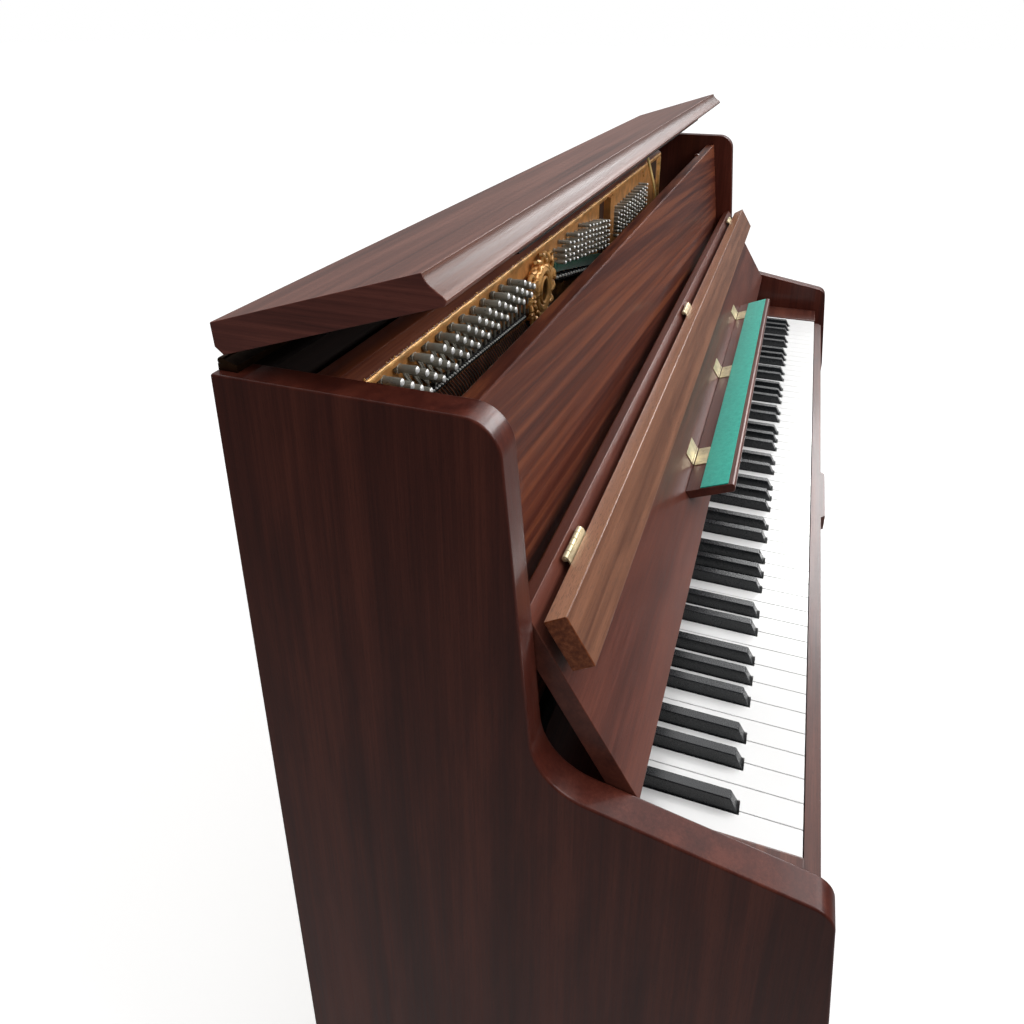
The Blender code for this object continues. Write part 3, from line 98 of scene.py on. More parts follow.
GRAIN_TURNS = {"x": (0, 0, 0), "y": (0, 0, -math.pi / 2), "z": (0, math.pi / 2, 0)}


class Surface:
    """A node material while it is being made."""

    def __init__(self, name, **values):
        self.material = bpy.data.materials.new(name)
        self.material.use_nodes = True
        self.tree = self.material.node_tree
        self.shader = self.tree.nodes["Principled BSDF"]
        for key, value in values.items():
            self.set(key.replace("_", " "), value)

    def set(self, key, value):
        """Sets or links one of the shader's own sockets."""
        socket = self.shader.inputs[key]
        if isinstance(value, bpy.types.NodeSocket):
            self.tree.links.new(value, socket)
        elif isinstance(value, tuple) and len(value) == 3:
            socket.default_value = (*value, 1.0)
        else:
            socket.default_value = value

    def node(self, kind, inputs, output=0, **settings):
        """A node with its inputs set or linked; gives back one output."""
        made = self.tree.nodes.new("ShaderNode" + kind)
        for key, value in settings.items():
            setattr(made, key, value)
        for key, value in inputs.items():
            if isinstance(value, bpy.types.NodeSocket):
                self.tree.links.new(value, made.inputs[key])
            else:
                made.inputs[key].default_value = value
        return made.outputs[output]

    def coords(self, turn=(0, 0, 0)):
        """The piece's own coordinates in metres, turned."""
        place = self.node("TexCoord", {}, "Object")
        return self.node("Mapping", {"Vector": place, "Rotation": turn})

    def noise(self, place, stretch, detail=2.0, roughness=0.5, distortion=0.0):
        """Noise with its own number of cycles a metre along each axis."""
        scaled = self.node("Mapping", {"Vector": place, "Scale": stretch})
        return self.node("TexNoise", {"Vector": scaled, "Scale": 1.0, "Detail": detail, "Roughness": roughness,
                                      "Distortion": distortion}, "Fac")

    def ramp(self, factor, stops):
        """A colour ramp through (place, colour) stops."""
        made = self.tree.nodes.new("ShaderNodeValToRGB")
        self.tree.links.new(factor, made.inputs[0])
        elements = made.color_ramp.elements
        while len(elements) < len(stops):
            elements.new(0.5)
        for element, (place, colour) in zip(elements, stops):
            element.position = place
            element.color = (*colour, 1.0)
        return made.outputs[0]

    def step(self, value, low, high, to_low=0.0, to_high=1.0):
        """A clamped linear change of range."""
        return self.node("MapRange", {"Value": value, "From Min": low, "From Max": high, "To Min": to_low,
                                      "To Max": to_high})

    def maths(self, operation, first, second):
        return self.node("Math", {0: first, 1: second}, operation=operation)

    def mix(self, factor, first, second, blend="MIX"):
        first = (*first, 1.0) if isinstance(first, tuple) else first
        second = (*second, 1.0) if isinstance(second, tuple) else second
        return self.node("Mix", {0: factor, 6: first, 7: second}, 2, data_type="RGBA", blend_type=blend)

    def bump(self, height, distance, strength=1.0):
        made = self.node("Bump", {"Height": height, "Distance": distance, "Strength": strength})
        self.set("Normal", made)


def veneer(name, dark, middle, light, along="x", slope=0.0, band=0.020, pore=0.5, rough=0.34, coat=0.25,
           shift=0.0, figure=0.55, wave=1.0, specular=0.35, coat_rough=0.16):
    """Ribbon-striped veneer under satin lacquer: long stripes, short figure, fibres and open pores.

    The wave is how much the stripes wander and break up: 0 leaves them straight.
    """
    surface = Surface(name, Specular_IOR_Level=specular, Coat_Weight=coat, Coat_Roughness=coat_rough, Coat_IOR=1.45)
    turn = GRAIN_TURNS[along]
    place = surface.coords((turn[0], turn[1] + slope, turn[2]))
    if shift:
        place = surface.node("Mapping", {"Vector": place, "Location": (shift, shift * 1.7, shift * 0.6)})
    across = 1.0 / band
    ribbon = surface.noise(place, (0.9, across, across), 2.0, 0.55, 0.25 * wave)
    chatoyance = surface.noise(place, (9.0 * wave, across * 1.3, across * 1.3), 2.0, 0.5, 0.6 * wave)
    streak = surface.noise(place, (5.0, across * 9.0, across * 9.0), 3.0, 0.6)
    fibre = surface.noise(place, (26.0, 1100.0, 1100.0), 2.0, 0.7)
    tone = surface.maths("MULTIPLY", ribbon, figure)
    tone = surface.maths("ADD", tone, surface.maths("MULTIPLY", chatoyance, 0.28))
    tone = surface.maths("ADD", tone, surface.maths("MULTIPLY", streak, 0.30))
    tone = surface.maths("ADD", tone, surface.maths("MULTIPLY", fibre, 0.16))
    centre = (figure + 0.28 + 0.30 + 0.16) / 2
    colour = surface.ramp(tone, [(centre - 0.135, dark), (centre, middle), (centre + 0.135, light)])
    dashes = surface.step(surface.noise(place, (150.0, 2300.0, 2300.0), 1.0, 0.4), 0.60, 0.70)
    shade = surface.maths("MULTIPLY", dashes, pore)
    pore_colour = tuple(channel * 0.35 for channel in dark)
    surface.set("Base Color", surface.mix(shade, colour, pore_colour))
    surface.set("Roughness", surface.step(streak, 0.3, 0.7, rough - 0.04, rough + 0.05))
    height = surface.maths("SUBTRACT", surface.maths("MULTIPLY", fibre, 0.35), surface.maths("MULTIPLY", dashes, pore))
    surface.bump(height, 0.00012, 0.5)
    return surface.material


def raw_wood(name, dark, light, along="x", rough=0.6):
    """Plain unlacquered timber with growth rings."""
    surface = Surface(name, Specular_IOR_Level=0.3, Roughness=rough)
    place = surface.coords(GRAIN_TURNS[along])
    rings = surface.noise(place, (1.4, 90.0, 90.0), 3.0, 0.6, 0.4)
    fibre = surface.noise(place, (18.0, 900.0, 900.0), 2.0, 0.6)
    tone = surface.maths("ADD", surface.maths("MULTIPLY", rings, 0.75), surface.maths("MULTIPLY", fibre, 0.25))
    surface.set("Base Color", surface.ramp(tone, [(0.36, dark), (0.62, light)]))
    surface.bump(fibre, 0.00015, 0.5)
    return surface.material


def metal(name, colour, rough, stain=0.12, scratch=600.0, metallic=1.0):
    """Metal with faint stains and fine scratches."""
    surface = Surface(name, Metallic=metallic)
    place = surface.coords()
    cloud = surface.noise(place, (60.0, 60.0, 60.0), 3.0, 0.6)
    fine = surface.noise(place, (scratch, scratch * 0.2, scratch * 0.2), 2.0, 0.6)
    darker = tuple(channel * (1 - stain * 2.2) for channel in colour)
    surface.set("Base Color", surface.ramp(cloud, [(0.36, darker), (0.62, colour)]))
    surface.set("Roughness", surface.step(fine, 0.3, 0.7, rough - 0.06, rough + 0.10))
    surface.bump(fine, 0.00005, 0.4)
    return surface.material


def felt_material(name, dark, light):
    """Pressed felt: soft mottling, stray fibres and a matt nap."""
    surface = Surface(name, Roughness=0.95, Specular_IOR_Level=0.15, Sheen_Weight=0.25, Sheen_Roughness=0.5)
    place = surface.coords()
    mottle = surface.noise(place, (180.0, 180.0, 180.0), 4.0, 0.7)
    fuzz = surface.noise(place, (1500.0, 1500.0, 1500.0), 3.0, 0.7)
    tone = surface.maths("ADD", surface.maths("MULTIPLY", mottle, 0.6), surface.maths("MULTIPLY", fuzz, 0.4))
    surface.set("Base Color", surface.ramp(tone, [(0.36, dark), (0.62, light)]))
    surface.bump(tone, 0.0006, 0.6)
    return surface.material


def plastic(name, colour, rough, mottle=0.04, specular=0.5):
    """Moulded and polished plastic with a hint of unevenness."""
    surface = Surface(name, Specular_IOR_Level=specular)
    place = surface.coords()
    cloud = surface.noise(place, (35.0, 35.0, 35.0), 3.0, 0.6)
    fine = surface.noise(place, (900.0, 900.0, 900.0), 2.0, 0.6)
    darker = tuple(channel * (1 - mottle) for channel in colour)
    surface.set("Base Color", surface.ramp(cloud, [(0.35, darker), (0.65, colour)]))
    surface.set("Roughness", surface.step(fine, 0.3, 0.7, rough - 0.03, rough + 0.05))
    surface.bump(fine, 0.00004, 0.3)
    return surface.material


SIDE_TONES = ((0.049, 0.0108, 0.0074), (0.074, 0.0162, 0.0102), (0.110, 0.0260, 0.0155))
PANEL_TONES = ((0.060, 0.0155, 0.0110), (0.118, 0.0310, 0.0175), (0.205, 0.0600, 0.0270))
TRIM_TONES = ((0.052, 0.0160, 0.0120), (0.094, 0.0300, 0.0205), (0.150, 0.0500, 0.0320))
RAIL_TONES = ((0.060, 0.0125, 0.0065), (0.105, 0.0240, 0.0105), (0.170, 0.0450, 0.0180))
LID_TONES = ((0.105, 0.0400, 0.0300), (0.180, 0.0690, 0.0500), (0.265, 0.1100, 0.0800))
COVE_TONES = ((0.060, 0.0190, 0.0110), (0.098, 0.0320, 0.0180), (0.145, 0.0500, 0.0290))
LID_END_TONES = ((0.080, 0.0185, 0.0130), (0.130, 0.0320, 0.0225), (0.198, 0.0540, 0.0370))
FALL_TONES = ((0.066, 0.0190, 0.0135), (0.104, 0.0295, 0.0195), (0.152, 0.0450, 0.0285))
FALL_EDGE_TONES = ((0.140, 0.0430, 0.0180), (0.225, 0.0700, 0.0290), (0.320, 0.1050, 0.0450))
FLAP_TONES = ((0.115, 0.0420, 0.0220), (0.190, 0.0760, 0.0400), (0.270, 0.1150, 0.0620))
FLAP_TOP_TONES = ((0.340, 0.155, 0.090), (0.480, 0.232, 0.136), (0.600, 0.310, 0.192))
FLAP_END_TONES = ((0.120, 0.0300, 0.0115), (0.210, 0.0570, 0.0210), (0.320, 0.1000, 0.0400))
REST_TONES = ((0.034, 0.0060, 0.0038), (0.052, 0.0095, 0.0058), (0.078, 0.0150, 0.0090))
PINE = ((0.34, 0.22, 0.12), (0.56, 0.40, 0.24))
BEECH = ((0.42, 0.28, 0.17), (0.58, 0.42, 0.28))
SPRUCE = ((0.46, 0.31, 0.17), (0.66, 0.49, 0.30))

SIDE_WOOD = veneer("side_veneer", *SIDE_TONES, along="z", band=0.022, pore=0.25, coat=0.18, specular=0.18,
                   coat_rough=0.10)
LID_WOOD = veneer("lid_veneer", *LID_TONES, along="x", band=0.030, pore=0.15, rough=0.32, coat=0.30, shift=0.7,
                  wave=0.35)
COVE_WOOD = veneer("lid_edge_veneer", *COVE_TONES, along="x", band=0.012, pore=0.1, rough=0.42, coat=0.06, shift=1.3,
                   wave=0.35, specular=0.14)
LID_END_WOOD = veneer("lid_end_veneer", *LID_END_TONES, along="y", band=0.012, pore=0.2, shift=2.3)
PANEL_WOOD = veneer("panel_veneer", *PANEL_TONES, along="x", slope=math.radians(-4.5), band=0.010, pore=0.25,
                    shift=1.9, figure=0.85, wave=0.12, coat=0.12, specular=0.20)
RAIL_WOOD = veneer("rail_veneer", *RAIL_TONES, along="x", band=0.020, pore=0.2, shift=7.7)
FALL_WOOD = veneer("fallboard_veneer", *FALL_TONES, along="x", band=0.026, pore=0.3, shift=3.1, coat=0.18,
                   specular=0.25)
FALL_EDGE_WOOD = veneer("fallboard_edge_veneer", *FALL_EDGE_TONES, along="x", band=0.018, pore=0.2, shift=3.6,
                        coat=0.06, specular=0.15)
REST_WOOD = veneer("rest_board_veneer", *REST_TONES, along="x", band=0.018, pore=0.2, shift=8.2, coat=0.05,
                   specular=0.10)
FLAP_WOOD = veneer("flap_veneer", *FLAP_TONES, along="x", band=0.014, pore=0.45, shift=4.3)
FLAP_END_WOOD = veneer("flap_end_veneer", *FLAP_END_TONES, along="x", band=0.004, pore=0.6, shift=4.9, wave=0.3,
                       coat=0.08, specular=0.20)
FLAP_EDGE_WOOD = veneer("flap_edge_veneer", *FLAP_TOP_TONES, along="x", band=0.030, pore=0.85, shift=5.2, figure=0.35)
TRIM_WOOD = veneer("trim_veneer", *TRIM_TONES, along="x", band=0.020, pore=0.35, shift=6.4, coat=0.16,
                   specular=0.26)
# Near-black timber for the back top beam: painted shade for the deep shadow under the lid.
BACK_BEAM_PAINTED_SHADE = raw_wood("back_beam_painted_shade", (0.010, 0.0045, 0.0035), (0.020, 0.0085, 0.0065), along="x", rough=0.7)
SPRUCE_WOOD = raw_wood("spruce", *SPRUCE, along="z")
PINE_WOOD = raw_wood("pine", *PINE, along="z")
PINE_RAIL = raw_wood("pine_rail", *PINE, along="x")
BEECH_WOOD = raw_wood("beech", *BEECH, along="x", rough=0.5)
BRASS = metal("polished_brass", (0.90, 0.68, 0.28), 0.34, 0.12, 600.0, 0.25)
HINGE_BRASS = metal("pale_hinge_brass", (0.72, 0.62, 0.39), 0.36, 0.16, 500.0, 0.40)
OLD_BRASS = metal("pedal_brass", (0.72, 0.52, 0.22), 0.28, 0.2)
HINGE_BRONZE = metal("dark_hinge_bronze", (0.10, 0.050, 0.025), 0.42, 0.2)
BRONZE = metal("bronze_paint", (0.62, 0.275, 0.080), 0.42, 0.16, 300.0, 0.30)
GILDING = metal("gilded_relief", (0.86, 0.46, 0.155), 0.36, 0.22, 900.0, 0.30)
NICKEL = metal("dark_nickel", (0.42, 0.400, 0.340), 0.30, 0.15, 500.0, 0.35)
# Near-white steel for the pin tips and guide pins: a painted highlight standing for their bright reflections.
PIN_HIGHLIGHT_STEEL = metal("pin_steel_painted_highlight", (0.92, 0.92, 0.90), 0.35, 0.05, 900.0, 0.25)
COPPER = metal("copper_winding", (0.50, 0.215, 0.125), 0.38, 0.2, 1500.0, 0.55)
# Steel wire made far darker than bare steel: painted shade for the plain strings, which lie in shadow.
PLAIN_WIRE_PAINTED_SHADE = metal("plain_wire_painted_shade", (0.20, 0.19, 0.18), 0.3, 0.15)
GREEN_FELT = felt_material("green_felt", (0.012, 0.325, 0.245), (0.030, 0.450, 0.345))
DARK_GREEN_FELT = felt_material("dark_green_felt", (0.001, 0.042, 0.020), (0.004, 0.090, 0.048))
PALE_FELT = felt_material("pale_felt", (0.52, 0.48, 0.40), (0.74, 0.70, 0.62))
# Black felt used only as painted shade: dark sheets set where the gap behind the rest board, the plate behind the
# strings and the ring's opening lie in shadow.
PAINTED_SHADE_FELT = felt_material("painted_shade_felt", (0.006, 0.006, 0.006), (0.018, 0.017, 0.016))
IVORY = plastic("natural_key_plastic", (0.86, 0.86, 0.855), 0.16, 0.015)
EBONY = plastic("sharp_key_plastic", (0.0125, 0.0145, 0.0170), 0.27, 0.25, 0.45)
RUBBER = plastic("black_rubber", (0.014, 0.014, 0.014), 0.7, 0.2, 0.2)
# Very dark brown for the plate's recesses: the pin block's own brown, darkened further as painted shade of the recess.
PLATE_POCKET_SHADE = plastic("shaded_pocket_paint", (0.045, 0.016, 0.007), 0.6, 0.3, 0.2)
# Near-black finish for the lid's underside: painted shade, as the underside lies in the lid's own shadow.
LID_UNDERSIDE_PAINTED_SHADE = plastic("lid_underside_painted_shade", (0.016, 0.0065, 0.0045), 0.55, 0.3, 0.2)


def bench(x, y, z):
    """A point given from the key fronts, in the frame's own place."""
    return Vector((x, y - DEPTH_CENTRE, z))


def rounded(corners, steps=10):
    """An outline from (across, up, radius) corners, with an arc where the radius isn't 0."""
    points = []
    for i, (across, up, radius) in enumerate(corners):
        corner = Vector((across, up))
        if not radius:
            points.append(tuple(corner))
            continue
        back = (Vector(corners[i - 1][:2]) - corner).normalized()
        ahead = (Vector(corners[(i + 1) % len(corners)][:2]) - corner).normalized()
        half = back.angle(ahead) / 2
        centre = corner + (back + ahead).normalized() * (radius / math.sin(half))
        start = corner + back * (radius / math.tan(half)) - centre
        end = corner + ahead * (radius / math.tan(half)) - centre
        first = math.atan2(start.y, start.x)
        sweep = (math.atan2(end.y, end.x) - first + math.pi) % (2 * math.pi) - math.pi
        for step in range(steps + 1):
            angle = first + sweep * step / steps
            points.append((centre.x + radius * math.cos(angle), centre.y + radius * math.sin(angle)))
    return points


def up_the_fall(u, n):
    """A point u up the open fallboard's face and n out from it, as y and z."""
    sine, cosine = math.sin(FALL_LEAN), math.cos(FALL_LEAN)
    return (FALL_FOOT + u * sine - n * cosine, KEY_TOP + FALL_FOOT_RISE + u * cosine + n * sine)


def on_the_shelf(out, down):
    """A point out along the drooping shelf's top and down into it, as y and z."""
    sine, cosine = math.sin(SHELF_DROOP), math.cos(SHELF_DROOP)
    return up_the_fall(SHELF_UP - out * sine - down * cosine, out * cosine - down * sine)


def open_lid(ahead, up):
    """A point of the closed lid, ahead of and above its hinge axis, once the lid is propped open."""
    sine, cosine = math.sin(LID_OPEN), math.cos(LID_OPEN)
    return (LID_AXIS - ahead * cosine + up * sine, LID_AXIS_Z + ahead * sine + up * cosine)


def add_prism(shape, outline, x_from, x_to):
    """Adds a closed prism along x to a mesh that is being made."""
    low = [shape.verts.new(bench(x_from, y, z)) for y, z in outline]
    high = [shape.verts.new(bench(x_to, y, z)) for y, z in outline]
    count = len(outline)
    for i in range(count):
        shape.faces.new((low[i], low[(i + 1) % count], high[(i + 1) % count], high[i]))
    shape.faces.new(low[::-1])
    shape.faces.new(high)


def add_slab(shape, corners_low, corners_high):
    """Adds a six-sided solid between two four-cornered faces."""
    low = [shape.verts.new(point) for point in corners_low]
    high = [shape.verts.new(point) for point in corners_high]
    for i in range(4):
        shape.faces.new((low[i], low[(i + 1) % 4], high[(i + 1) % 4], high[i]))
    shape.faces.new(low[::-1])
    shape.faces.new(high)


def add_lathe(shape, rings, place, sides=14):
    """Adds a turned form: rings are (distance along z, radius), then placed by a matrix."""
    rows = []
    for along, radius in rings:
        row = []
        for side in range(sides):
            angle = 2 * math.pi * side / sides
            row.append(shape.verts.new(place @ Vector((radius * math.cos(angle), radius * math.sin(angle), along))))
        rows.append(row)
    faces = []
    for first, second in zip(rows, rows[1:]):
        for side in range(sides):
            after = (side + 1) % sides
            faces.append(shape.faces.new((first[side], first[after], second[after], second[side])))
    faces.append(shape.faces.new(rows[0][::-1]))
    faces.append(shape.faces.new(rows[-1]))
    return faces


def aim(start, direction):
    """A matrix that takes z to a direction and the origin to a start."""
    turn = Vector((0, 0, 1)).rotation_difference(Vector(direction)).to_matrix().to_4x4()
    return Matrix.Translation(start) @ turn


def add_tube(shape, path, radius, sides=8):
    """Adds a round tube with closed ends through a list of points."""
    rows = []
    for i, point in enumerate(path):
        before, after = path[max(i - 1, 0)], path[min(i + 1, len(path) - 1)]
        turn = Vector((0, 0, 1)).rotation_difference(Vector(after) - Vector(before))
        row = []
        for side in range(sides):
            angle = 2 * math.pi * side / sides
            spoke = turn @ Vector((radius * math.cos(angle), radius * math.sin(angle), 0))
            row.append(shape.verts.new(Vector(point) + spoke))
        rows.append(row)
    for first, second in zip(rows, rows[1:]):
        for side in range(sides):
            after = (side + 1) % sides
            shape.faces.new((first[side], first[after], second[after], second[side]))
    shape.faces.new(rows[0][::-1])
    shape.faces.new(rows[-1])


def piece(name, shape, material, body, ease=0.0, segments=3, stands_for=(), others=()):
    """Turns a finished mesh into a shown piece that rides on a body."""
    bmesh.ops.recalc_face_normals(shape, faces=shape.faces)
    mesh = bpy.data.meshes.new(name)
    shape.to_mesh(mesh)
    shape.free()
    mesh.shade_smooth()
    mesh.set_sharp_from_angle(angle=math.radians(38))
    mesh.materials.append(material)
    for other in others:
        mesh.materials.append(other)
    made = bpy.data.objects.new(name, mesh)
    bpy.context.scene.collection.objects.link(made)
    if ease:
        bevel = made.modifiers.new("eased edges", "BEVEL")
        bevel.width = ease
        bevel.segments = segments
        bevel.limit_method = "ANGLE"
        bevel.angle_limit = math.radians(38)
        bevel.harden_normals = True
    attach(made, body)
    if stands_for:
        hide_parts(*stands_for)
    return made


def board(name, outline, x_from, x_to, material, body, ease, stands_for=(), segments=3):
    """A board with one outline from end to end."""
    shape = bmesh.new()
    add_prism(shape, outline, x_from, x_to)
    return piece(name, shape, material, body, ease, segments, stands_for)


def side_outline():
    return rounded([
        (CASE_REAR, 0, 0),
        (CASE_REAR, SIDE_TOP, 0),
        (0.2125, SIDE_TOP, 0.028),
        (0.1895, KEY_TOP + 0.0843, 0.050),
        (-0.016, KEY_TOP + 0.049, 0.018),
        (CASE_FRONT, KEY_TOP - 0.120, 0),
        (CASE_FRONT, KEY_TOP - 0.190, 0),
        (TOE_FRONT, 0, 0),
    ], 18)


def make_case():
    outer = HALF_INNER + SIDE_THICKNESS
    board("bass_side_skin", side_outline(), -outer, -HALF_INNER, SIDE_WOOD, "case", 0.0018,
          ("left_side",))
    board("treble_side_skin", side_outline(), HALF_INNER, outer, SIDE_WOOD, "case", 0.0018,
          ("right_side",))
    finishes = {
        "keybed": TRIM_WOOD, "left_key_block": TRIM_WOOD, "right_key_block": TRIM_WOOD, "keyslip": TRIM_WOOD,
        "fallboard_rest_board": REST_WOOD, "upper_panel": PANEL_WOOD, "lower_panel": PANEL_WOOD,
        # The back top beam takes the near-black timber, which is painted shade for the shadow under the lid.
        "toe_rail": TRIM_WOOD, "back_top_beam": BACK_BEAM_PAINTED_SHADE, "top_rail": RAIL_WOOD, "bottom_board": PINE_RAIL,
        "back_bottom_beam": PINE_RAIL, "back_post_bass": PINE_WOOD, "back_post_middle": PINE_WOOD,
        "back_post_treble": PINE_WOOD, "soundboard": SPRUCE_WOOD, "bridge": BEECH_WOOD, "pin_block": BEECH_WOOD,
        "key_frame": BEECH_WOOD, "action_rail": BEECH_WOOD, "iron_plate": BRONZE, "hitch_plate": BRONZE,
        "lid_hinge": HINGE_BRONZE, "lid_batten": RUBBER, "soft_pedal": OLD_BRASS, "sustain_pedal": OLD_BRASS,
        "soft_rod": BEECH_WOOD, "sustain_rod": BEECH_WOOD, "hammers": PALE_FELT, "dampers": PALE_FELT,
    }
    for name, material in finishes.items():
        paint(name, material)
    cap = [(0.131, KEY_TOP + 0.0380), (0.131, KEY_TOP + 0.0478), (0.2055, KEY_TOP + 0.0478),
           (0.2055, KEY_TOP + 0.0463), (0.1647, KEY_TOP + 0.0463), (0.1647, KEY_TOP + 0.0380)]
    board("rest_board_cap", cap, -HALF_INNER + 0.0005, HALF_INNER - 0.0005, REST_WOOD, "case", 0.0005)
    # A black strip across the gap behind the rest board: painted shade for the shadowed gap under the upper panel.
    strip = [(0.2060, KEY_TOP + 0.0360), (0.2400, KEY_TOP + 0.0360), (0.2400, KEY_TOP + 0.0385),
             (0.2060, KEY_TOP + 0.0385)]
    board("rest_board_felt", strip, -HALF_INNER + 0.0005, HALF_INNER - 0.0005, PAINTED_SHADE_FELT, "case",
          0.0005)


def paint(name, material):
    """Gives a carried-over node its finish."""
    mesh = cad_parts[name].data
    mesh.materials.clear()
    mesh.materials.append(material)


STAY_PATH = ((0.3364, 0.3968), (0.3351, 0.3800), (0.3316, 0.3600), (0.3265, 0.3424), (0.3212, 0.3247),
             (0.3163, 0.3048), (0.3127, 0.2840), (0.3112, 0.2700), (0.3106, 0.2580))


def swept(start, first, second, end, steps=10):
    """The points of a cubic curve after its start."""
    points = []
    for step in range(1, steps + 1):
        share = step / steps
        rest = 1 - share
        near = rest ** 3 * start + 3 * rest * rest * share * first
        points.append(tuple(near + 3 * rest * share * share * second + share ** 3 * end))
    return points


def make_lid():
    """The lid with its shallow moulded front edge, and the rod that props it."""
    arris = Vector((LID_ARRIS, LID_TOP))
    bend = arris + Vector((0.0052, -0.0128))
    slope = Vector((0.59, -0.81))
    nose = Vector((LID_FRONT, LID_UNDER + 0.0022))
    profile = [(0.0038, LID_UNDER), (-0.0007, LID_UNDER + 0.0070), (0.0036, LID_TOP + 0.001), tuple(arris)]
    profile += swept(arris, arris + Vector((0, -0.0062)), bend - 0.0050 * slope, bend)
    profile += swept(bend, bend + 0.0034 * slope, nose + Vector((0, 0.0028)), nose)
    profile.append((LID_FRONT - 0.0022, LID_UNDER))
    reach = HALF_INNER + 0.018
    shape = bmesh.new()
    add_prism(shape, [open_lid(*point) for point in profile], -reach, reach)
    shape.faces.ensure_lookup_table()
    # The underside face gets the near-black finish, which is painted shade.
    shape.faces[len(profile) - 1].material_index = 2
    for face in shape.faces[3:len(profile) - 2]:
        face.material_index = 3
    shape.faces[-1].material_index = 1
    shape.faces[-2].material_index = 1
    piece("lid_board", shape, LID_WOOD, "top_lid", 0.0013, 3, ("lid",),
          (LID_END_WOOD, LID_UNDERSIDE_PAINTED_SHADE, COVE_WOOD))

    rod = bmesh.new()
    path = [bench(STAY_X, y, KEY_TOP + z) for y, z in STAY_PATH]
    add_tube(rod, path, 0.0024, 10)
    y, z = STAY_PATH[0]
    add_lathe(rod, [(0, 0.0036), (0.0006, 0.0044), (0.0114, 0.0044), (0.012, 0.0036)],
              aim(bench(STAY_X - 0.006, y, KEY_TOP + z), (1, 0, 0)), 20)
    piece("stay_rod", rod, BRASS, "stay", stands_for=("lid_stay",))


def make_fallboard():
    half = HALF_INNER - 0.0008
    steps = 12
    corners = rounded([(0, 0, 0.0015), (FALL_LENGTH - 0.0004, 0, 0.0006), (FALL_LENGTH, -0.0118, 0.0006),
                       (FALL_LENGTH - 0.0032, -FALL_THICKNESS, 0.0006), (0, -FALL_THICKNESS, 0.003)], steps)
    shape = bmesh.new()
    add_prism(shape, [up_the_fall(u, n) for u, n in corners], -half, half)
    shape.faces.ensure_lookup_table()
    rear_facet = 3 * (steps + 1) - 1
    shape.faces[rear_facet].material_index = 1
    piece("fallboard_panel", shape, FALL_WOOD, "fall", 0.0008, 3, ("fallboard",), (FALL_EDGE_WOOD,))

    half = HALF_INNER - 0.001
    near, far = FLAP_GAP, FLAP_GAP + FLAP_THICKNESS
    low = FLAP_TOP - FLAP_HEIGHT
    corners = [(low, near), (FLAP_TOP, near), (FLAP_TOP, far), (low, far)]
    shape = bmesh.new()
    add_prism(shape, [up_the_fall(u, n) for u, n in corners], -half, half)
    shape.faces.ensure_lookup_table()
    shape.faces[1].material_index = 1
    shape.faces[4].material_index = 2
    shape.faces[5].material_index = 2
    piece("flap_board", shape, FLAP_WOOD, "front_flap", 0.0010, 3, ("flap",),
          (FLAP_EDGE_WOOD, FLAP_END_WOOD))
    make_flap_hinges()
    make_shelf()


def make_flap_hinges():
    """Brass butt hinges: a knuckled barrel and the leaf that runs down behind the flap."""
    shape = bmesh.new()
    y, z = up_the_fall(FLAP_AXIS_UP, FLAP_AXIS_OUT)
    for x in FLAP_HINGES:
        for knuckle in range(5):
            start = bench(x - 0.021 + knuckle * 0.0084, y, z)
            add_lathe(shape, [(0, 0.0021), (0.0004, 0.0025), (0.0077, 0.0025), (0.0081, 0.0021)],
                      aim(start, (1, 0, 0)), 20)
        add_lathe(shape, [(-0.0006, 0.0012), (0.0426, 0.0012)], aim(bench(x - 0.021, y, z), (1, 0, 0)), 12)
        leaf = [up_the_fall(u, n) for u, n in ((0.1455, 0.0060), (0.1615, 0.0060), (0.1615, 0.0074), (0.1455, 0.0074))]
        add_prism(shape, leaf, x - 0.021, x + 0.021)
    piece("flap_hinges", shape, HINGE_BRASS, "front_flap")


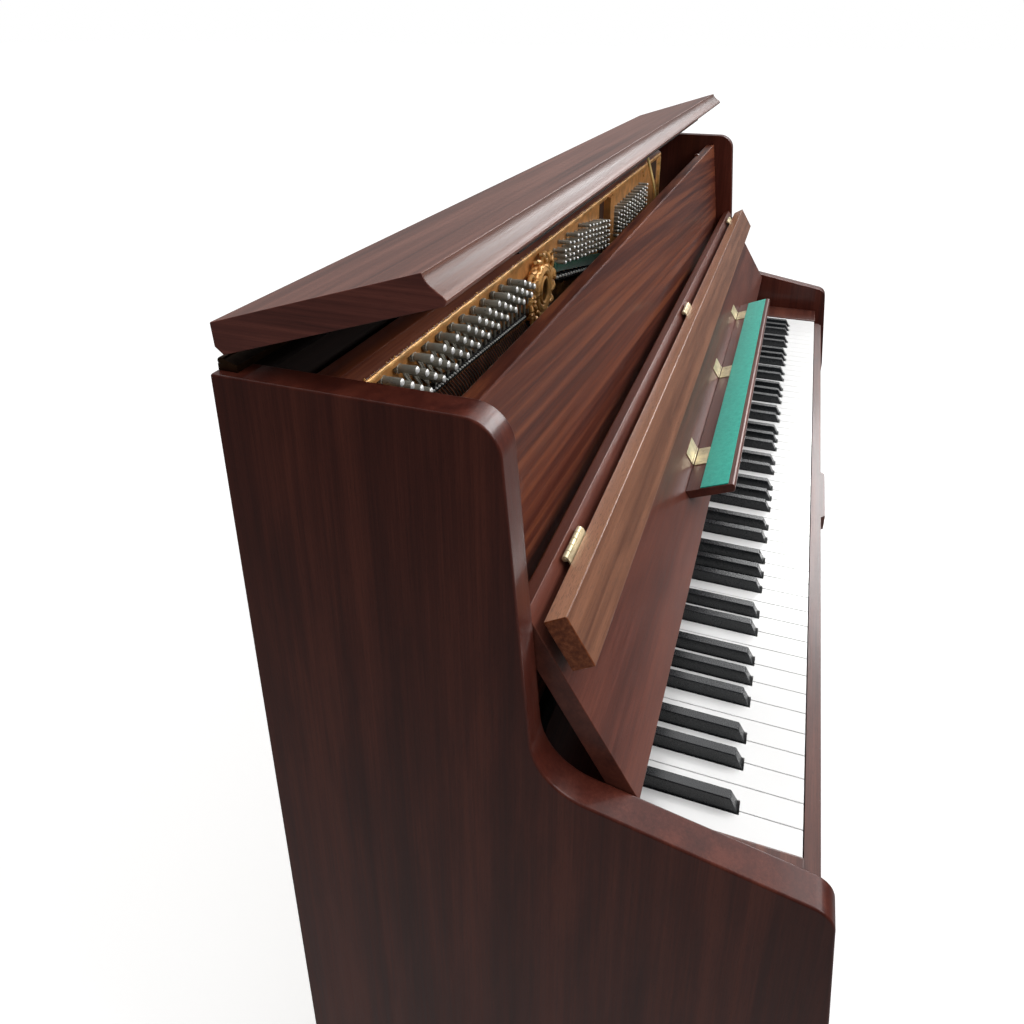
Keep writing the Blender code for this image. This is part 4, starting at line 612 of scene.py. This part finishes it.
def make_shelf():
    """The music shelf with its rounded lip, its felt, and three brass butt hinges."""
    corners = rounded([
        (0.0003, 0, 0), (SHELF_DEPTH, 0, 0.0035), (SHELF_DEPTH - 0.003, SHELF_THICKNESS, 0.0035),
        (0.0003 + SHELF_THICKNESS * math.tan(SHELF_DROOP), SHELF_THICKNESS, 0),
    ], 6)
    board("shelf_board", [on_the_shelf(out, down) for out, down in corners], SHELF_FROM, SHELF_TO, FALL_WOOD,
          "shelf", 0.0008, ("music_shelf",))

    front = FELT_FROM + FELT_DEPTH
    pad = rounded([(FELT_FROM, -0.0001, 0), (FELT_FROM, -0.0013, 0.0004), (front, -0.0013, 0.0004),
                   (front, -0.0001, 0)], 3)
    board("shelf_felt_pad", [on_the_shelf(out, down) for out, down in pad], SHELF_FROM + 0.0015, SHELF_TO - 0.003,
          GREEN_FELT, "shelf", 0.0003, ("shelf_felt",), 2)

    leaf = bmesh.new()
    wing = bmesh.new()
    y, z = up_the_fall(SHELF_UP + 0.0020, 0.00095)
    for x in SHELF_HINGES:
        flat = [on_the_shelf(out, down) for out, down in (
            (0.0024, -0.0002), (0.0024, -0.0010), (FELT_FROM - 0.0006, -0.0010), (FELT_FROM - 0.0006, -0.0002))]
        add_prism(leaf, flat, x - 0.020, x + 0.020)
        add_lathe(leaf, [(0, 0.0007), (0.0003, 0.0009), (0.0397, 0.0009), (0.040, 0.0007)],
                  aim(bench(x - 0.020, y, z), (1, 0, 0)), 12)
        plate = [up_the_fall(SHELF_UP + up, out) for up, out in (
            (0.0036, 0.0002), (0.0036, 0.0010), (0.0172, 0.0010), (0.0172, 0.0002))]
        add_prism(wing, plate, x - 0.020, x + 0.020)
        for across in (-0.013, 0.013):
            y_head, z_head = on_the_shelf(0.0090, -0.0009)
            add_lathe(leaf, [(0, 0.0021), (0.0002, 0.0020), (0.0004, 0.0012)],
                      aim(bench(x + across, y_head, z_head), (0, 0.38, 0.93)), 10)
            y_head, z_head = up_the_fall(SHELF_UP + 0.0110, 0.0009)
            add_lathe(wing, [(0, 0.0021), (0.0002, 0.0020), (0.0004, 0.0012)],
                      aim(bench(x + across, y_head, z_head), (0, -0.86, 0.51)), 10)
    piece("shelf_hinge_leaves", leaf, HINGE_BRASS, "shelf", 0.0002, 2)
    piece("shelf_hinge_wings", wing, HINGE_BRASS, "fall", 0.0002, 2)


LETTERS = ("c", "cs", "d", "ds", "e", "f", "fs", "g", "gs", "a", "as", "b")


def keyboard():
    """Every key from the lowest up: name, octave, whether it is a sharp, front edges, tail edges."""
    keys = []
    natural = 0
    for number in range(KEY_COUNT):
        letter = (number + FIRST_LETTER) % 12
        octave = (number + FIRST_LETTER) // 12
        first, naturals = (0, 3) if letter < 5 else (5, 4)
        step = letter - first
        tail = (naturals * NATURAL_PITCH - (naturals - 1) * SHARP_SLOT) / naturals
        name = f"{LETTERS[letter]}{octave}"
        if step % 2:
            group_left = KEYS_LEFT + (natural - 1 - (step - 1) // 2) * NATURAL_PITCH
            left = group_left + (step + 1) // 2 * tail + (step - 1) // 2 * SHARP_SLOT
            keys.append((name, octave, True, left, left + SHARP_SLOT, left, left + SHARP_SLOT))
            continue
        left = KEYS_LEFT + natural * NATURAL_PITCH
        right = left + NATURAL_PITCH
        group_left = left - step // 2 * NATURAL_PITCH
        tail_left = group_left + step // 2 * (tail + SHARP_SLOT)
        tail_right = tail_left + tail
        if number == 0:
            tail_left = left
        if number == KEY_COUNT - 1:
            tail_right = right
        keys.append((name, octave, False, left, right, tail_left, tail_right))
        natural += 1
    return keys


def add_natural(shape, left, right, tail_left, tail_right):
    """A natural: the plan of a wide front and a narrower tail."""
    gap = 0.0004
    neck = SHARP_FRONT - 0.0013
    ring = [(left + gap, 0.0), (right - gap, 0.0)]
    if tail_right < right - 1e-6:
        ring += [(right - gap, neck), (tail_right - gap, neck)]
    ring += [(tail_right - gap, KEY_LENGTH), (tail_left + gap, KEY_LENGTH)]
    if tail_left > left + 1e-6:
        ring += [(tail_left + gap, neck), (left + gap, neck)]
    low = [shape.verts.new(bench(x, y, KEY_TOP - STICK_DEPTH + 0.0002)) for x, y in ring]
    high = [shape.verts.new(bench(x, y, KEY_TOP)) for x, y in ring]
    for i in range(len(ring)):
        after = (i + 1) % len(ring)
        shape.faces.new((low[i], low[after], high[after], high[i]))
    shape.faces.new(low[::-1])
    shape.faces.new(high)


def add_sharp(shape, left, right):
    """A sharp: sides that lean in to the top, and a slanted front."""
    gap = 0.0005
    lean = 0.0011
    top = KEY_TOP + SHARP_HEIGHT
    foot = KEY_TOP - 0.004
    rows = []
    for y, z, inset in (
        (SHARP_FRONT, foot, 0.0), (SHARP_FRONT, KEY_TOP + 0.0004, 0.0), (SHARP_FRONT + 0.0065, top, lean),
        (SHARP_END - 0.001, top, lean), (SHARP_END, KEY_TOP, 0.0), (SHARP_END, foot, 0.0),
    ):
        rows.append((shape.verts.new(bench(left + gap + inset, y, z)), shape.verts.new(bench(right - gap - inset, y, z))))
    for first, second in zip(rows, rows[1:] + rows[:1]):
        shape.faces.new((first[0], first[1], second[1], second[0]))
    shape.faces.new([row[0] for row in rows])
    shape.faces.new([row[1] for row in rows][::-1])
    add_slab(shape,
             [bench(x, SHARP_FRONT + 0.001, z) for x, z in ((left + gap, foot - 0.018), (right - gap, foot - 0.018),
                                                           (right - gap, foot - 0.0002), (left + gap, foot - 0.0002))],
             [bench(x, KEY_LENGTH, z) for x, z in ((left + gap, foot - 0.018), (right - gap, foot - 0.018),
                                                  (right - gap, foot - 0.0002), (left + gap, foot - 0.0002))])


def make_keys():
    """White and black keys, each riding with the body of its own key or set."""
    keys = keyboard()
    for name, octave, is_sharp, left, right, tail_left, tail_right in keys:
        if octave != 4:
            continue
        shape = bmesh.new()
        if is_sharp:
            add_sharp(shape, left, right)
        else:
            add_natural(shape, left, right, tail_left, tail_right)
        material, slot = (EBONY, "sharp_keys") if is_sharp else (IVORY, "natural_keys")
        piece("shown_" + name, shape, material, name, 0.0009 if is_sharp else 0.0005, 3, ("key_" + name,))
    for low, chosen in (("low", [k for k in keys if k[1] < 4]), ("high", [k for k in keys if k[1] > 4])):
        node = {"low": "bass", "high": "treble"}[low]
        shape = bmesh.new()
        for key in chosen:
            if not key[2]:
                add_natural(shape, *key[3:])
        piece(node + "_naturals_shown", shape, IVORY, low + "_naturals", 0.0005, 3,
              (node + "_naturals",))
        shape = bmesh.new()
        for key in chosen:
            if key[2]:
                add_sharp(shape, key[3], key[4])
        piece(node + "_sharps_shown", shape, EBONY, low + "_sharps", 0.0009, 3, (node + "_sharps",))


def add_pin(shape, x, z, radius, length, collars):
    """A tuning pin that points at the player: string wound at its root, a plain shank and a near-white tip that is a
    painted highlight.
    """
    rings = [(-0.003, radius)]
    for collar in range(collars):
        start = 0.0008 + collar * 0.0017
        rings += [(start, radius), (start + 0.0003, radius * 1.26), (start + 0.0012, radius * 1.26),
                  (start + 0.0015, radius)]
    rings += [(length - 0.0016, radius), (length - 0.0012, radius * 0.92), (length - 0.0003, radius * 0.62),
              (length, radius * 0.45)]
    sides = 12
    tilt = math.radians(2)
    place = aim(bench(x, PLATE_FRONT - 0.0003, z), (0, -math.cos(tilt), math.sin(tilt)))
    faces = add_lathe(shape, rings, place, sides)
    bands = len(rings) - 1
    # The last bands and the end take the near-white steel, a painted highlight.
    for face in faces[(bands - 2) * sides:bands * sides] + [faces[-1]]:
        face.material_index = 1


def bass_pin_spots():
    spots = []
    for row in range(4):
        for column in range(12):
            x = column * 0.0244 + row * 0.0150
            z = 0.3395 - 0.00045 * column - row * (0.0092 - 0.00026 * column)
            if x < 0.312:
                spots.append((-HALF_INNER + 0.0565 + x + DICE.uniform(-0.0006, 0.0006), KEY_TOP + z))
    return spots


def fan_spots(start, step, columns, rows, foot, pitch, climb):
    """Rows of tuning pins that climb away from their start and stop under the plate's rim."""
    spots = []
    for row in range(rows):
        for column in range(columns):
            rise = foot + row * pitch + abs(step) * column * climb
            if rise < 0.3350:
                jog = DICE.uniform(-0.0007, 0.0007)
                spots.append((start + step * column + jog * 2, KEY_TOP + rise + jog))
    return spots


def bead_line(x):
    """The height of the row of guide pins over the bass strings, x from the middle."""
    share = (x + HALF_INNER - 0.080) / 0.280
    return KEY_TOP + 0.3010 - 0.0165 * share


def make_tuning_pins():
    bass_spots = bass_pin_spots()
    for name, spots, radius, length, collars in (
        ("bass", bass_spots, 0.0034, 0.020, 2),
        ("tenor", fan_spots(0.035, -0.0187, 13, 6, 0.2790, 0.0074, 0.155), 0.0024, 0.017, 1),
        ("treble", fan_spots(0.096, 0.0203, 12, 6, 0.2805, 0.0068, 0.02), 0.0024, 0.017, 1),
    ):
        shape = bmesh.new()
        for x, z in spots:
            add_pin(shape, x, z, radius, length, collars)
        piece(name + "_tuning_pins", shape, NICKEL, "case", stands_for=(name + "_pins",),
              others=(PIN_HIGHLIGHT_STEEL,))

    leads = bmesh.new()
    for x, z in bass_spots:
        foot_x = x + (z - bead_line(x)) * 0.35 + 0.004
        start = bench(x + 0.0030, PLATE_FRONT - 0.0040, z - 0.002)
        middle = bench((x + foot_x) / 2 + 0.003, PLATE_FRONT - 0.0075, (z + bead_line(foot_x)) / 2)
        end = bench(foot_x + 0.002, PLATE_FRONT - 0.0045, bead_line(foot_x))
        add_tube(leads, [start, middle, end], 0.0011, 6)
        add_tube(leads, [start + Vector((0.0025, -0.001, 0)), middle + Vector((0.0030, 0.001, 0)),
                         end + Vector((0.0030, 0, 0))], 0.0009, 6)
    piece("string_leads", leads, NICKEL, "case")


def make_strings():
    """Wound bass strings that slant to the treble, plain wires behind them, and the bars that hold them down."""
    wound = bmesh.new()
    beads = bmesh.new()
    foot = KEY_TOP - 0.262
    count = 53
    pitch = 0.0053
    first = -HALF_INNER + 0.082
    for number in range(count):
        x = first + number * pitch
        top = bead_line(x)
        reach = 0.40 + 0.0010 * number
        path = [bench(x, PLATE_FRONT - 0.0030, top),
                bench(x + 0.020, PLATE_FRONT - 0.0030, top - 0.020),
                bench(x + reach, PLATE_FRONT - 0.0024, foot)]
        add_tube(wound, path, 0.00110 - 0.000008 * number, 6)
        add_lathe(beads, [(0, 0.0010), (0.0010, 0.0011), (0.0017, 0.0008), (0.0020, 0.0003)],
                  aim(bench(x, PLATE_FRONT - 0.0065, top + 0.001), (0, -1, 0)), 8)
    bar_from, bar_to = first - 0.004, first + count * pitch
    bar = [bench(x, PLATE_FRONT - 0.0003 - depth, bead_line(x) + rise) for x, depth, rise in (
        (bar_from, 0, 0.0035), (bar_to, 0, 0.0035), (bar_to, 0, -0.0030), (bar_from, 0, -0.0030))]
    front = [point + Vector((0, -0.0062, 0)) for point in bar]
    guide = bmesh.new()
    add_slab(guide, bar, front)

    # Plain wires in the darkened steel, painted shade.
    plain = bmesh.new()
    x = -HALF_INNER + 0.470
    while x < PLATE_RIGHT - 0.130:
        top = band_top(x) - 0.020
        add_tube(plain, [bench(x, PLATE_FRONT - 0.0012, top), bench(x + 0.030, PLATE_FRONT - 0.0012, foot)], 0.0006, 5)
        x += 0.0046
    piece("bass_strings", wound, COPPER, "case", stands_for=("strings",))
    piece("plain_strings", plain, PLAIN_WIRE_PAINTED_SHADE, "case")

    lower = -HALF_INNER + 0.472
    upper = -HALF_INNER + 0.712
    steps = 12
    places = [lower + (upper - lower) * step / steps for step in range(steps + 1)]
    for start, end in zip(places, places[1:]):
        add_slab(guide,
                 [bench(px, PLATE_FRONT - 0.0003, pz) for px, pz in (
                     (start, band_top(start) - 0.0145), (end, band_top(end) - 0.0165),
                     (end, band_top(end) - 0.0235), (start, band_top(start) - 0.0215))],
                 [bench(px, PLATE_FRONT - 0.0065, pz) for px, pz in (
                     (start, band_top(start) - 0.0145), (end, band_top(end) - 0.0165),
                     (end, band_top(end) - 0.0235), (start, band_top(start) - 0.0215))])
    x = lower + 0.004
    while x < upper:
        add_lathe(beads, [(0, 0.0018), (0.0012, 0.0019), (0.0022, 0.0014), (0.0026, 0.0004)],
                  aim(bench(x, PLATE_FRONT - 0.0065, band_top(x) - 0.0185), (0, -1, 0)), 8)
        x += 0.0125
    # The guide pins take the near-white steel, a painted highlight for their glints.
    piece("guide_pins", beads, PIN_HIGHLIGHT_STEEL, "case")
    piece("pressure_bars", guide, RUBBER, "case")

    # A black sheet over the plate behind the strings: painted shade for the shadowed lower plate.
    backing = bmesh.new()
    left, right = -HALF_INNER + 0.030, -HALF_INNER + 0.745
    add_slab(backing, [bench(px, PLATE_FRONT - 0.0002, pz) for px, pz in (
        (left, KEY_TOP + 0.070), (right, KEY_TOP + 0.070), (right, KEY_TOP + 0.245), (left, KEY_TOP + 0.295))],
        [bench(px, PLATE_FRONT - 0.0010, pz) for px, pz in (
            (left, KEY_TOP + 0.070), (right, KEY_TOP + 0.070), (right, KEY_TOP + 0.245), (left, KEY_TOP + 0.295))])
    piece("string_shade_cloth", backing, PAINTED_SHADE_FELT, "case")


def band_top(x):
    """The upper edge of the green felt, which sags from the ornament towards the treble."""
    share = (x + HALF_INNER - 0.485) / 0.208
    return KEY_TOP + 0.3127 - 0.0440 * share + 0.0036 * share * (1 - share)


def make_felt_band():
    shape = bmesh.new()
    steps = 16
    rows = []
    for step in range(steps + 1):
        x = -HALF_INNER + 0.468 + 0.244 * step / steps
        high = band_top(x)
        low = high - 0.0118 - 0.0035 * step / steps
        front, rear = PLATE_FRONT - 0.0062, PLATE_FRONT - 0.0004
        rows.append([shape.verts.new(bench(x, y, z)) for y, z in (
            (rear, low), (front + 0.0008, low), (front, low + 0.0012), (front, high - 0.0012),
            (front + 0.0008, high), (rear, high))])
    for first, second in zip(rows, rows[1:]):
        for i in range(6):
            after = (i + 1) % 6
            shape.faces.new((first[i], first[after], second[after], second[i]))
    shape.faces.new(rows[0][::-1])
    shape.faces.new(rows[-1])
    piece("string_felt", shape, DARK_GREEN_FELT, "case", stands_for=("felt_band",))


def make_plate_trim():
    """The plate's rope edge, its right-hand frame and the laurel ring between the pin fields."""
    rope = bmesh.new()
    left, right = PLATE_LEFT + 0.004, PLATE_RIGHT - 0.004
    steps = 220
    y, z = PLATE_FRONT - 0.0012, PLATE_TOP - 0.0008
    path = []
    for step in range(steps + 1):
        wobble = 0.00025 * DICE.uniform(-1, 1)
        path.append(bench(left + (right - left) * step / steps, y + wobble, z + wobble))
    add_tube(rope, path, 0.0030, 10)
    x = left + 0.003
    while x < right - 0.003:
        size = DICE.uniform(0.0005, 0.0011)
        high = z + 0.0024 + DICE.uniform(0, 0.0006)
        add_lathe(rope, [(0, size * 0.6), (size, size), (size * 2.0, size * 0.3)],
                  aim(bench(x, y - 0.0008, high), (DICE.uniform(-0.5, 0.5), -0.35, 1)), 6)
        x += DICE.uniform(0.004, 0.0085)
    frame_x = PLATE_RIGHT - 0.014
    add_slab(rope, [bench(px, PLATE_FRONT - 0.0001, pz) for px, pz in (
        (frame_x, KEY_TOP + 0.070), (PLATE_RIGHT - 0.001, KEY_TOP + 0.070),
        (PLATE_RIGHT - 0.001, PLATE_TOP - 0.004), (frame_x, PLATE_TOP - 0.004))],
        [bench(px, PLATE_FRONT - 0.0040, pz) for px, pz in (
            (frame_x + 0.003, KEY_TOP + 0.073), (PLATE_RIGHT - 0.002, KEY_TOP + 0.073),
            (PLATE_RIGHT - 0.002, PLATE_TOP - 0.007), (frame_x + 0.003, PLATE_TOP - 0.007))])
    for px, pz in ((0.355, 0.3371), (0.360, 0.3284)):
        add_lathe(rope, [(0, 0.0030), (0.0012, 0.0030), (0.0020, 0.0018)],
                  aim(bench(px, PLATE_FRONT, KEY_TOP + pz), (0, -1, 0)), 14)
    piece("plate_rope_edge", rope, GILDING, "case")
    lip = [(0.3450, KEY_TOP + 0.3561), (0.3352, KEY_TOP + 0.3492), (0.3352, KEY_TOP + 0.3480),
           (0.3450, KEY_TOP + 0.3480)]
    board("rail_lip", lip, -HALF_INNER + 0.0005, PLATE_RIGHT, RAIL_WOOD, "case", 0.0004)

    # The pockets are thin dark panels: the pin block's brown plus painted shade.
    pocket = bmesh.new()
    corners = [(0.431, 0.3395), (0.486, 0.3395), (0.487, 0.2980), (0.470, 0.3060)]
    add_slab(pocket, [bench(px, PLATE_FRONT - 0.0001, KEY_TOP + pz) for px, pz in corners],
             [bench(px, PLATE_FRONT - 0.0006, KEY_TOP + pz) for px, pz in corners])
    corners = [(0.036, 0.3400), (0.062, 0.3400), (0.062, 0.2500), (0.036, 0.2500)]
    add_slab(pocket, [bench(px, PLATE_FRONT - 0.0001, KEY_TOP + pz) for px, pz in corners],
             [bench(px, PLATE_FRONT - 0.0006, KEY_TOP + pz) for px, pz in corners])
    piece("plate_pockets", pocket, PLATE_POCKET_SHADE, "case")

    wreath = bmesh.new()
    rise = KEY_TOP + 0.3000
    for number in range(15):
        angle = 2 * math.pi * number / 15
        x = ORNAMENT_X + 0.034 * math.cos(angle)
        z = rise + 0.031 * math.sin(angle)
        tangent = Vector((-math.sin(angle), 0, math.cos(angle)))
        outward = Vector((math.cos(angle), 0, math.sin(angle)))
        for side in (-1, 1):
            leaf = []
            for step in range(6):
                share = step / 5
                leaf.append(bench(x, PLATE_FRONT - 0.0050 - 0.0045 * math.sin(math.pi * share), z)
                            + tangent * 0.0165 * share + outward * side * 0.0075 * math.sin(1.9 * share))
            for part, radius in ((leaf[:3], 0.0019), (leaf[1:5], 0.0029), (leaf[3:], 0.0021)):
                add_tube(wreath, part, radius, 8)
    for across, up, radius, depth, middle in ((0.034, 0.031, 0.0036, 0.0035, 0.0),
                                              (0.0210, 0.0225, 0.0046, 0.0085, 0.001),
                                              (0.0128, 0.0150, 0.0019, 0.0120, -0.001)):
        ring = []
        for step in range(41):
            angle = 2 * math.pi * step / 40
            ring.append(bench(ORNAMENT_X + middle + across * math.cos(angle), PLATE_FRONT - depth,
                              rise + up * math.sin(angle)))
        add_tube(wreath, ring, radius, 8)
    for turn_way, cx, cz, size in ((1, 0.031, 0.026, 0.012), (-1, 0.041, 0.006, 0.010), (1, -0.026, -0.029, 0.010),
                                   (-1, 0.008, 0.035, 0.011), (-1, -0.036, 0.020, 0.010)):
        curl = []
        for step in range(22):
            share = step / 21
            angle = turn_way * 3.0 * math.pi * share
            reach = size * (1 - 0.78 * share)
            curl.append(bench(ORNAMENT_X + cx + reach * math.cos(angle), PLATE_FRONT - 0.0060 - 0.005 * share,
                              rise + cz + reach * math.sin(angle)))
        add_tube(wreath, curl, 0.0024, 8)
    piece("laurel_ring", wreath, GILDING, "case", stands_for=("plate_ornament",))

    # A black disc in the ring's centre: painted shade for the dark opening.
    middle = bmesh.new()
    ring = []
    for step in range(28):
        angle = 2 * math.pi * step / 28
        ring.append((ORNAMENT_X + 0.002 + 0.0165 * math.cos(angle), rise + 0.0190 * math.sin(angle)))
    low = [middle.verts.new(bench(x, PLATE_FRONT - 0.0002, z)) for x, z in ring]
    high = [middle.verts.new(bench(x, PLATE_FRONT - 0.0020, z)) for x, z in ring]
    for i in range(len(ring)):
        after = (i + 1) % len(ring)
        middle.faces.new((low[i], low[after], high[after], high[i]))
    middle.faces.new(low[::-1])
    middle.faces.new(high)
    piece("laurel_ring_middle", middle, PAINTED_SHADE_FELT, "case")

    fitting = bmesh.new()
    add_slab(fitting, [bench(x, y, KEY_TOP + 0.3568) for x, y in (
        (0.512, 0.349), (0.566, 0.349), (0.572, 0.362), (0.506, 0.362))],
        [bench(x, y, KEY_TOP + 0.3584) for x, y in ((0.512, 0.349), (0.566, 0.349), (0.572, 0.362), (0.506, 0.362))])
    add_lathe(fitting, [(0, 0.0030), (0.0030, 0.0030), (0.0042, 0.0016)],
              aim(bench(0.530, 0.3555, KEY_TOP + 0.3584), (0, 0, 1)), 12)
    piece("rail_bracket", fitting, NICKEL, "case", 0.0003, 2)
    knob = bmesh.new()
    add_lathe(knob, [(-0.010, 0.0030), (0.002, 0.0032), (0.005, 0.0050), (0.008, 0.0046), (0.0095, 0.0020)],
              aim(bench(0.516, 0.2640, KEY_TOP + 0.3400), (0, 0, 1)), 16)
    piece("panel_catch", knob, TRIM_WOOD, "case")


def make_camera():
    """The photograph's viewpoint: from the bass end, above and slightly behind the key fronts."""
    camera = bpy.data.objects.new("camera", bpy.data.cameras.new("camera"))
    bpy.context.scene.collection.objects.link(camera)
    right = Vector((0.32628, -0.94526, 0.00376))
    down = Vector((-0.35073, -0.12476, -0.92813))
    forward = Vector((0.87780, 0.30151, -0.37224))
    turn = Matrix((right, -down, -forward)).transposed().to_4x4()
    camera.matrix_world = Matrix.Translation((-1.06896, -0.12693, 1.31378)) @ turn
    camera.data.sensor_width = 36.0
    camera.data.lens = 27.48
    camera.data.shift_x = -0.0175
    camera.data.shift_y = -0.1671
    camera.data.clip_start = 0.02
    bpy.context.scene.camera = camera


def make_lamp(name, place, target, width, height, power):
    lamp = bpy.data.objects.new(name, bpy.data.lights.new(name, "AREA"))
    lamp.data.shape = "RECTANGLE"
    lamp.data.size = width
    lamp.data.size_y = height
    lamp.data.energy = power
    lamp.location = place
    lamp.rotation_euler = (Vector(target) - Vector(place)).to_track_quat("-Z", "Y").to_euler()
    bpy.context.scene.collection.objects.link(lamp)


def make_floor():
    """A pale floor whose shadow stays near the object and that turns white further out."""
    floor = bpy.data.objects.new("floor", bpy.data.meshes.new("floor"))
    shape = bmesh.new()
    bmesh.ops.create_grid(shape, x_segments=1, y_segments=1, size=60.0)
    bmesh.ops.translate(shape, verts=shape.verts, vec=(0, 0, -0.0005))
    shape.to_mesh(floor.data)
    shape.free()
    bpy.context.scene.collection.objects.link(floor)
    surface = Surface("pale_floor", Roughness=0.9, Specular_IOR_Level=0.0)
    place = surface.coords()
    cloud = surface.noise(place, (3.0, 3.0, 3.0), 2.0)
    path = surface.tree.nodes.new("ShaderNodeLightPath")
    seen = path.outputs["Is Camera Ray"]
    flat = surface.node("VectorMath", {0: place, 1: (1.0, 1.0, 0.0)}, operation="MULTIPLY")
    away = surface.node("VectorMath", {0: flat}, 1, operation="LENGTH")
    far = surface.step(away, 1.1, 3.2)
    tone = surface.ramp(cloud, [(0.3, (0.26, 0.26, 0.26)), (0.7, (0.28, 0.28, 0.28))])
    near_tone = surface.mix(seen, tone, (0.86, 0.86, 0.86))
    surface.set("Base Color", surface.mix(far, near_tone, (0.02, 0.02, 0.02)))
    surface.set("Emission Color", (1.0, 1.0, 1.0))
    glow = surface.step(far, 0.0, 1.0, 0.36, 1.0)
    surface.set("Emission Strength", surface.maths("MULTIPLY", glow, surface.maths("ADD", seen, 0.12)))
    floor.data.materials.append(surface.material)


def make_sky():
    """White behind the object for the eye, pale there and dark behind the camera for reflections."""
    world = bpy.data.worlds.new("studio")
    world.use_nodes = True
    tree = world.node_tree
    background = tree.nodes["Background"]
    path = tree.nodes.new("ShaderNodeLightPath")
    place = tree.nodes.new("ShaderNodeTexCoord")
    split = tree.nodes.new("ShaderNodeSeparateXYZ")
    tree.links.new(place.outputs["Generated"], split.inputs[0])

    def change(source, low, high, to_low, to_high):
        made = tree.nodes.new("ShaderNodeMapRange")
        tree.links.new(source, made.inputs["Value"])
        for key, value in (("From Min", low), ("From Max", high), ("To Min", to_low), ("To Max", to_high)):
            made.inputs[key].default_value = value
        return made.outputs[0]

    def blend(factor, first, second):
        made = tree.nodes.new("ShaderNodeMix")
        made.data_type = "FLOAT"
        tree.links.new(factor, made.inputs[0])
        for socket, value in ((2, first), (3, second)):
            if isinstance(value, float):
                made.inputs[socket].default_value = value
            else:
                tree.links.new(value, made.inputs[socket])
        return made.outputs[0]

    lit = change(split.outputs["Z"], -0.1, 0.9, 0.20, 0.62)
    towards = tree.nodes.new("ShaderNodeVectorMath")
    towards.operation = "DOT_PRODUCT"
    tree.links.new(place.outputs["Generated"], towards.inputs[0])
    towards.inputs[1].default_value = (0.93, 0.30, 0.20)
    mirrored = tree.nodes.new("ShaderNodeMath")
    mirrored.operation = "MULTIPLY"
    tree.links.new(change(towards.outputs["Value"], -0.15, 0.75, 0.10, 1.0), mirrored.inputs[0])
    tree.links.new(change(split.outputs["Z"], 0.06, 0.60, 0.13, 1.12), mirrored.inputs[1])
    mirrored = mirrored.outputs[0]
    strength = blend(path.outputs["Is Glossy Ray"], lit, mirrored)
    strength = blend(path.outputs["Is Camera Ray"], strength, 1.0)
    tree.links.new(strength, background.inputs["Strength"])
    background.inputs["Color"].default_value = (1.0, 1.0, 1.0, 1.0)
    bpy.context.scene.world = world
    bpy.context.scene.view_settings.view_transform = "Standard"


def make_studio():
    """Two big soft lamps over the front, and two reflectors that only gloss shows."""
    make_floor()
    make_lamp("key_lamp", (0.3, -2.2, 2.9), (0.1, 0.0, 0.9), 3.2, 1.6, 78.0)
    make_lamp("top_lamp", (0.4, 0.6, 3.3), (0.1, 0.0, 0.9), 3.0, 2.0, 34.0)
    for name, y in (("near_reflector", -0.55), ("far_reflector", -1.45)):
        make_lamp(name, (2.3, y, 2.35), (-0.4, 0.0, 1.0), 0.62, 1.0, 30.0)
        bpy.data.objects[name].visible_diffuse = False
    make_sky()


make_camera()
make_case()
make_lid()
make_tuning_pins()
make_strings()
make_felt_band()
make_plate_trim()
make_fallboard()
make_keys()
make_studio()
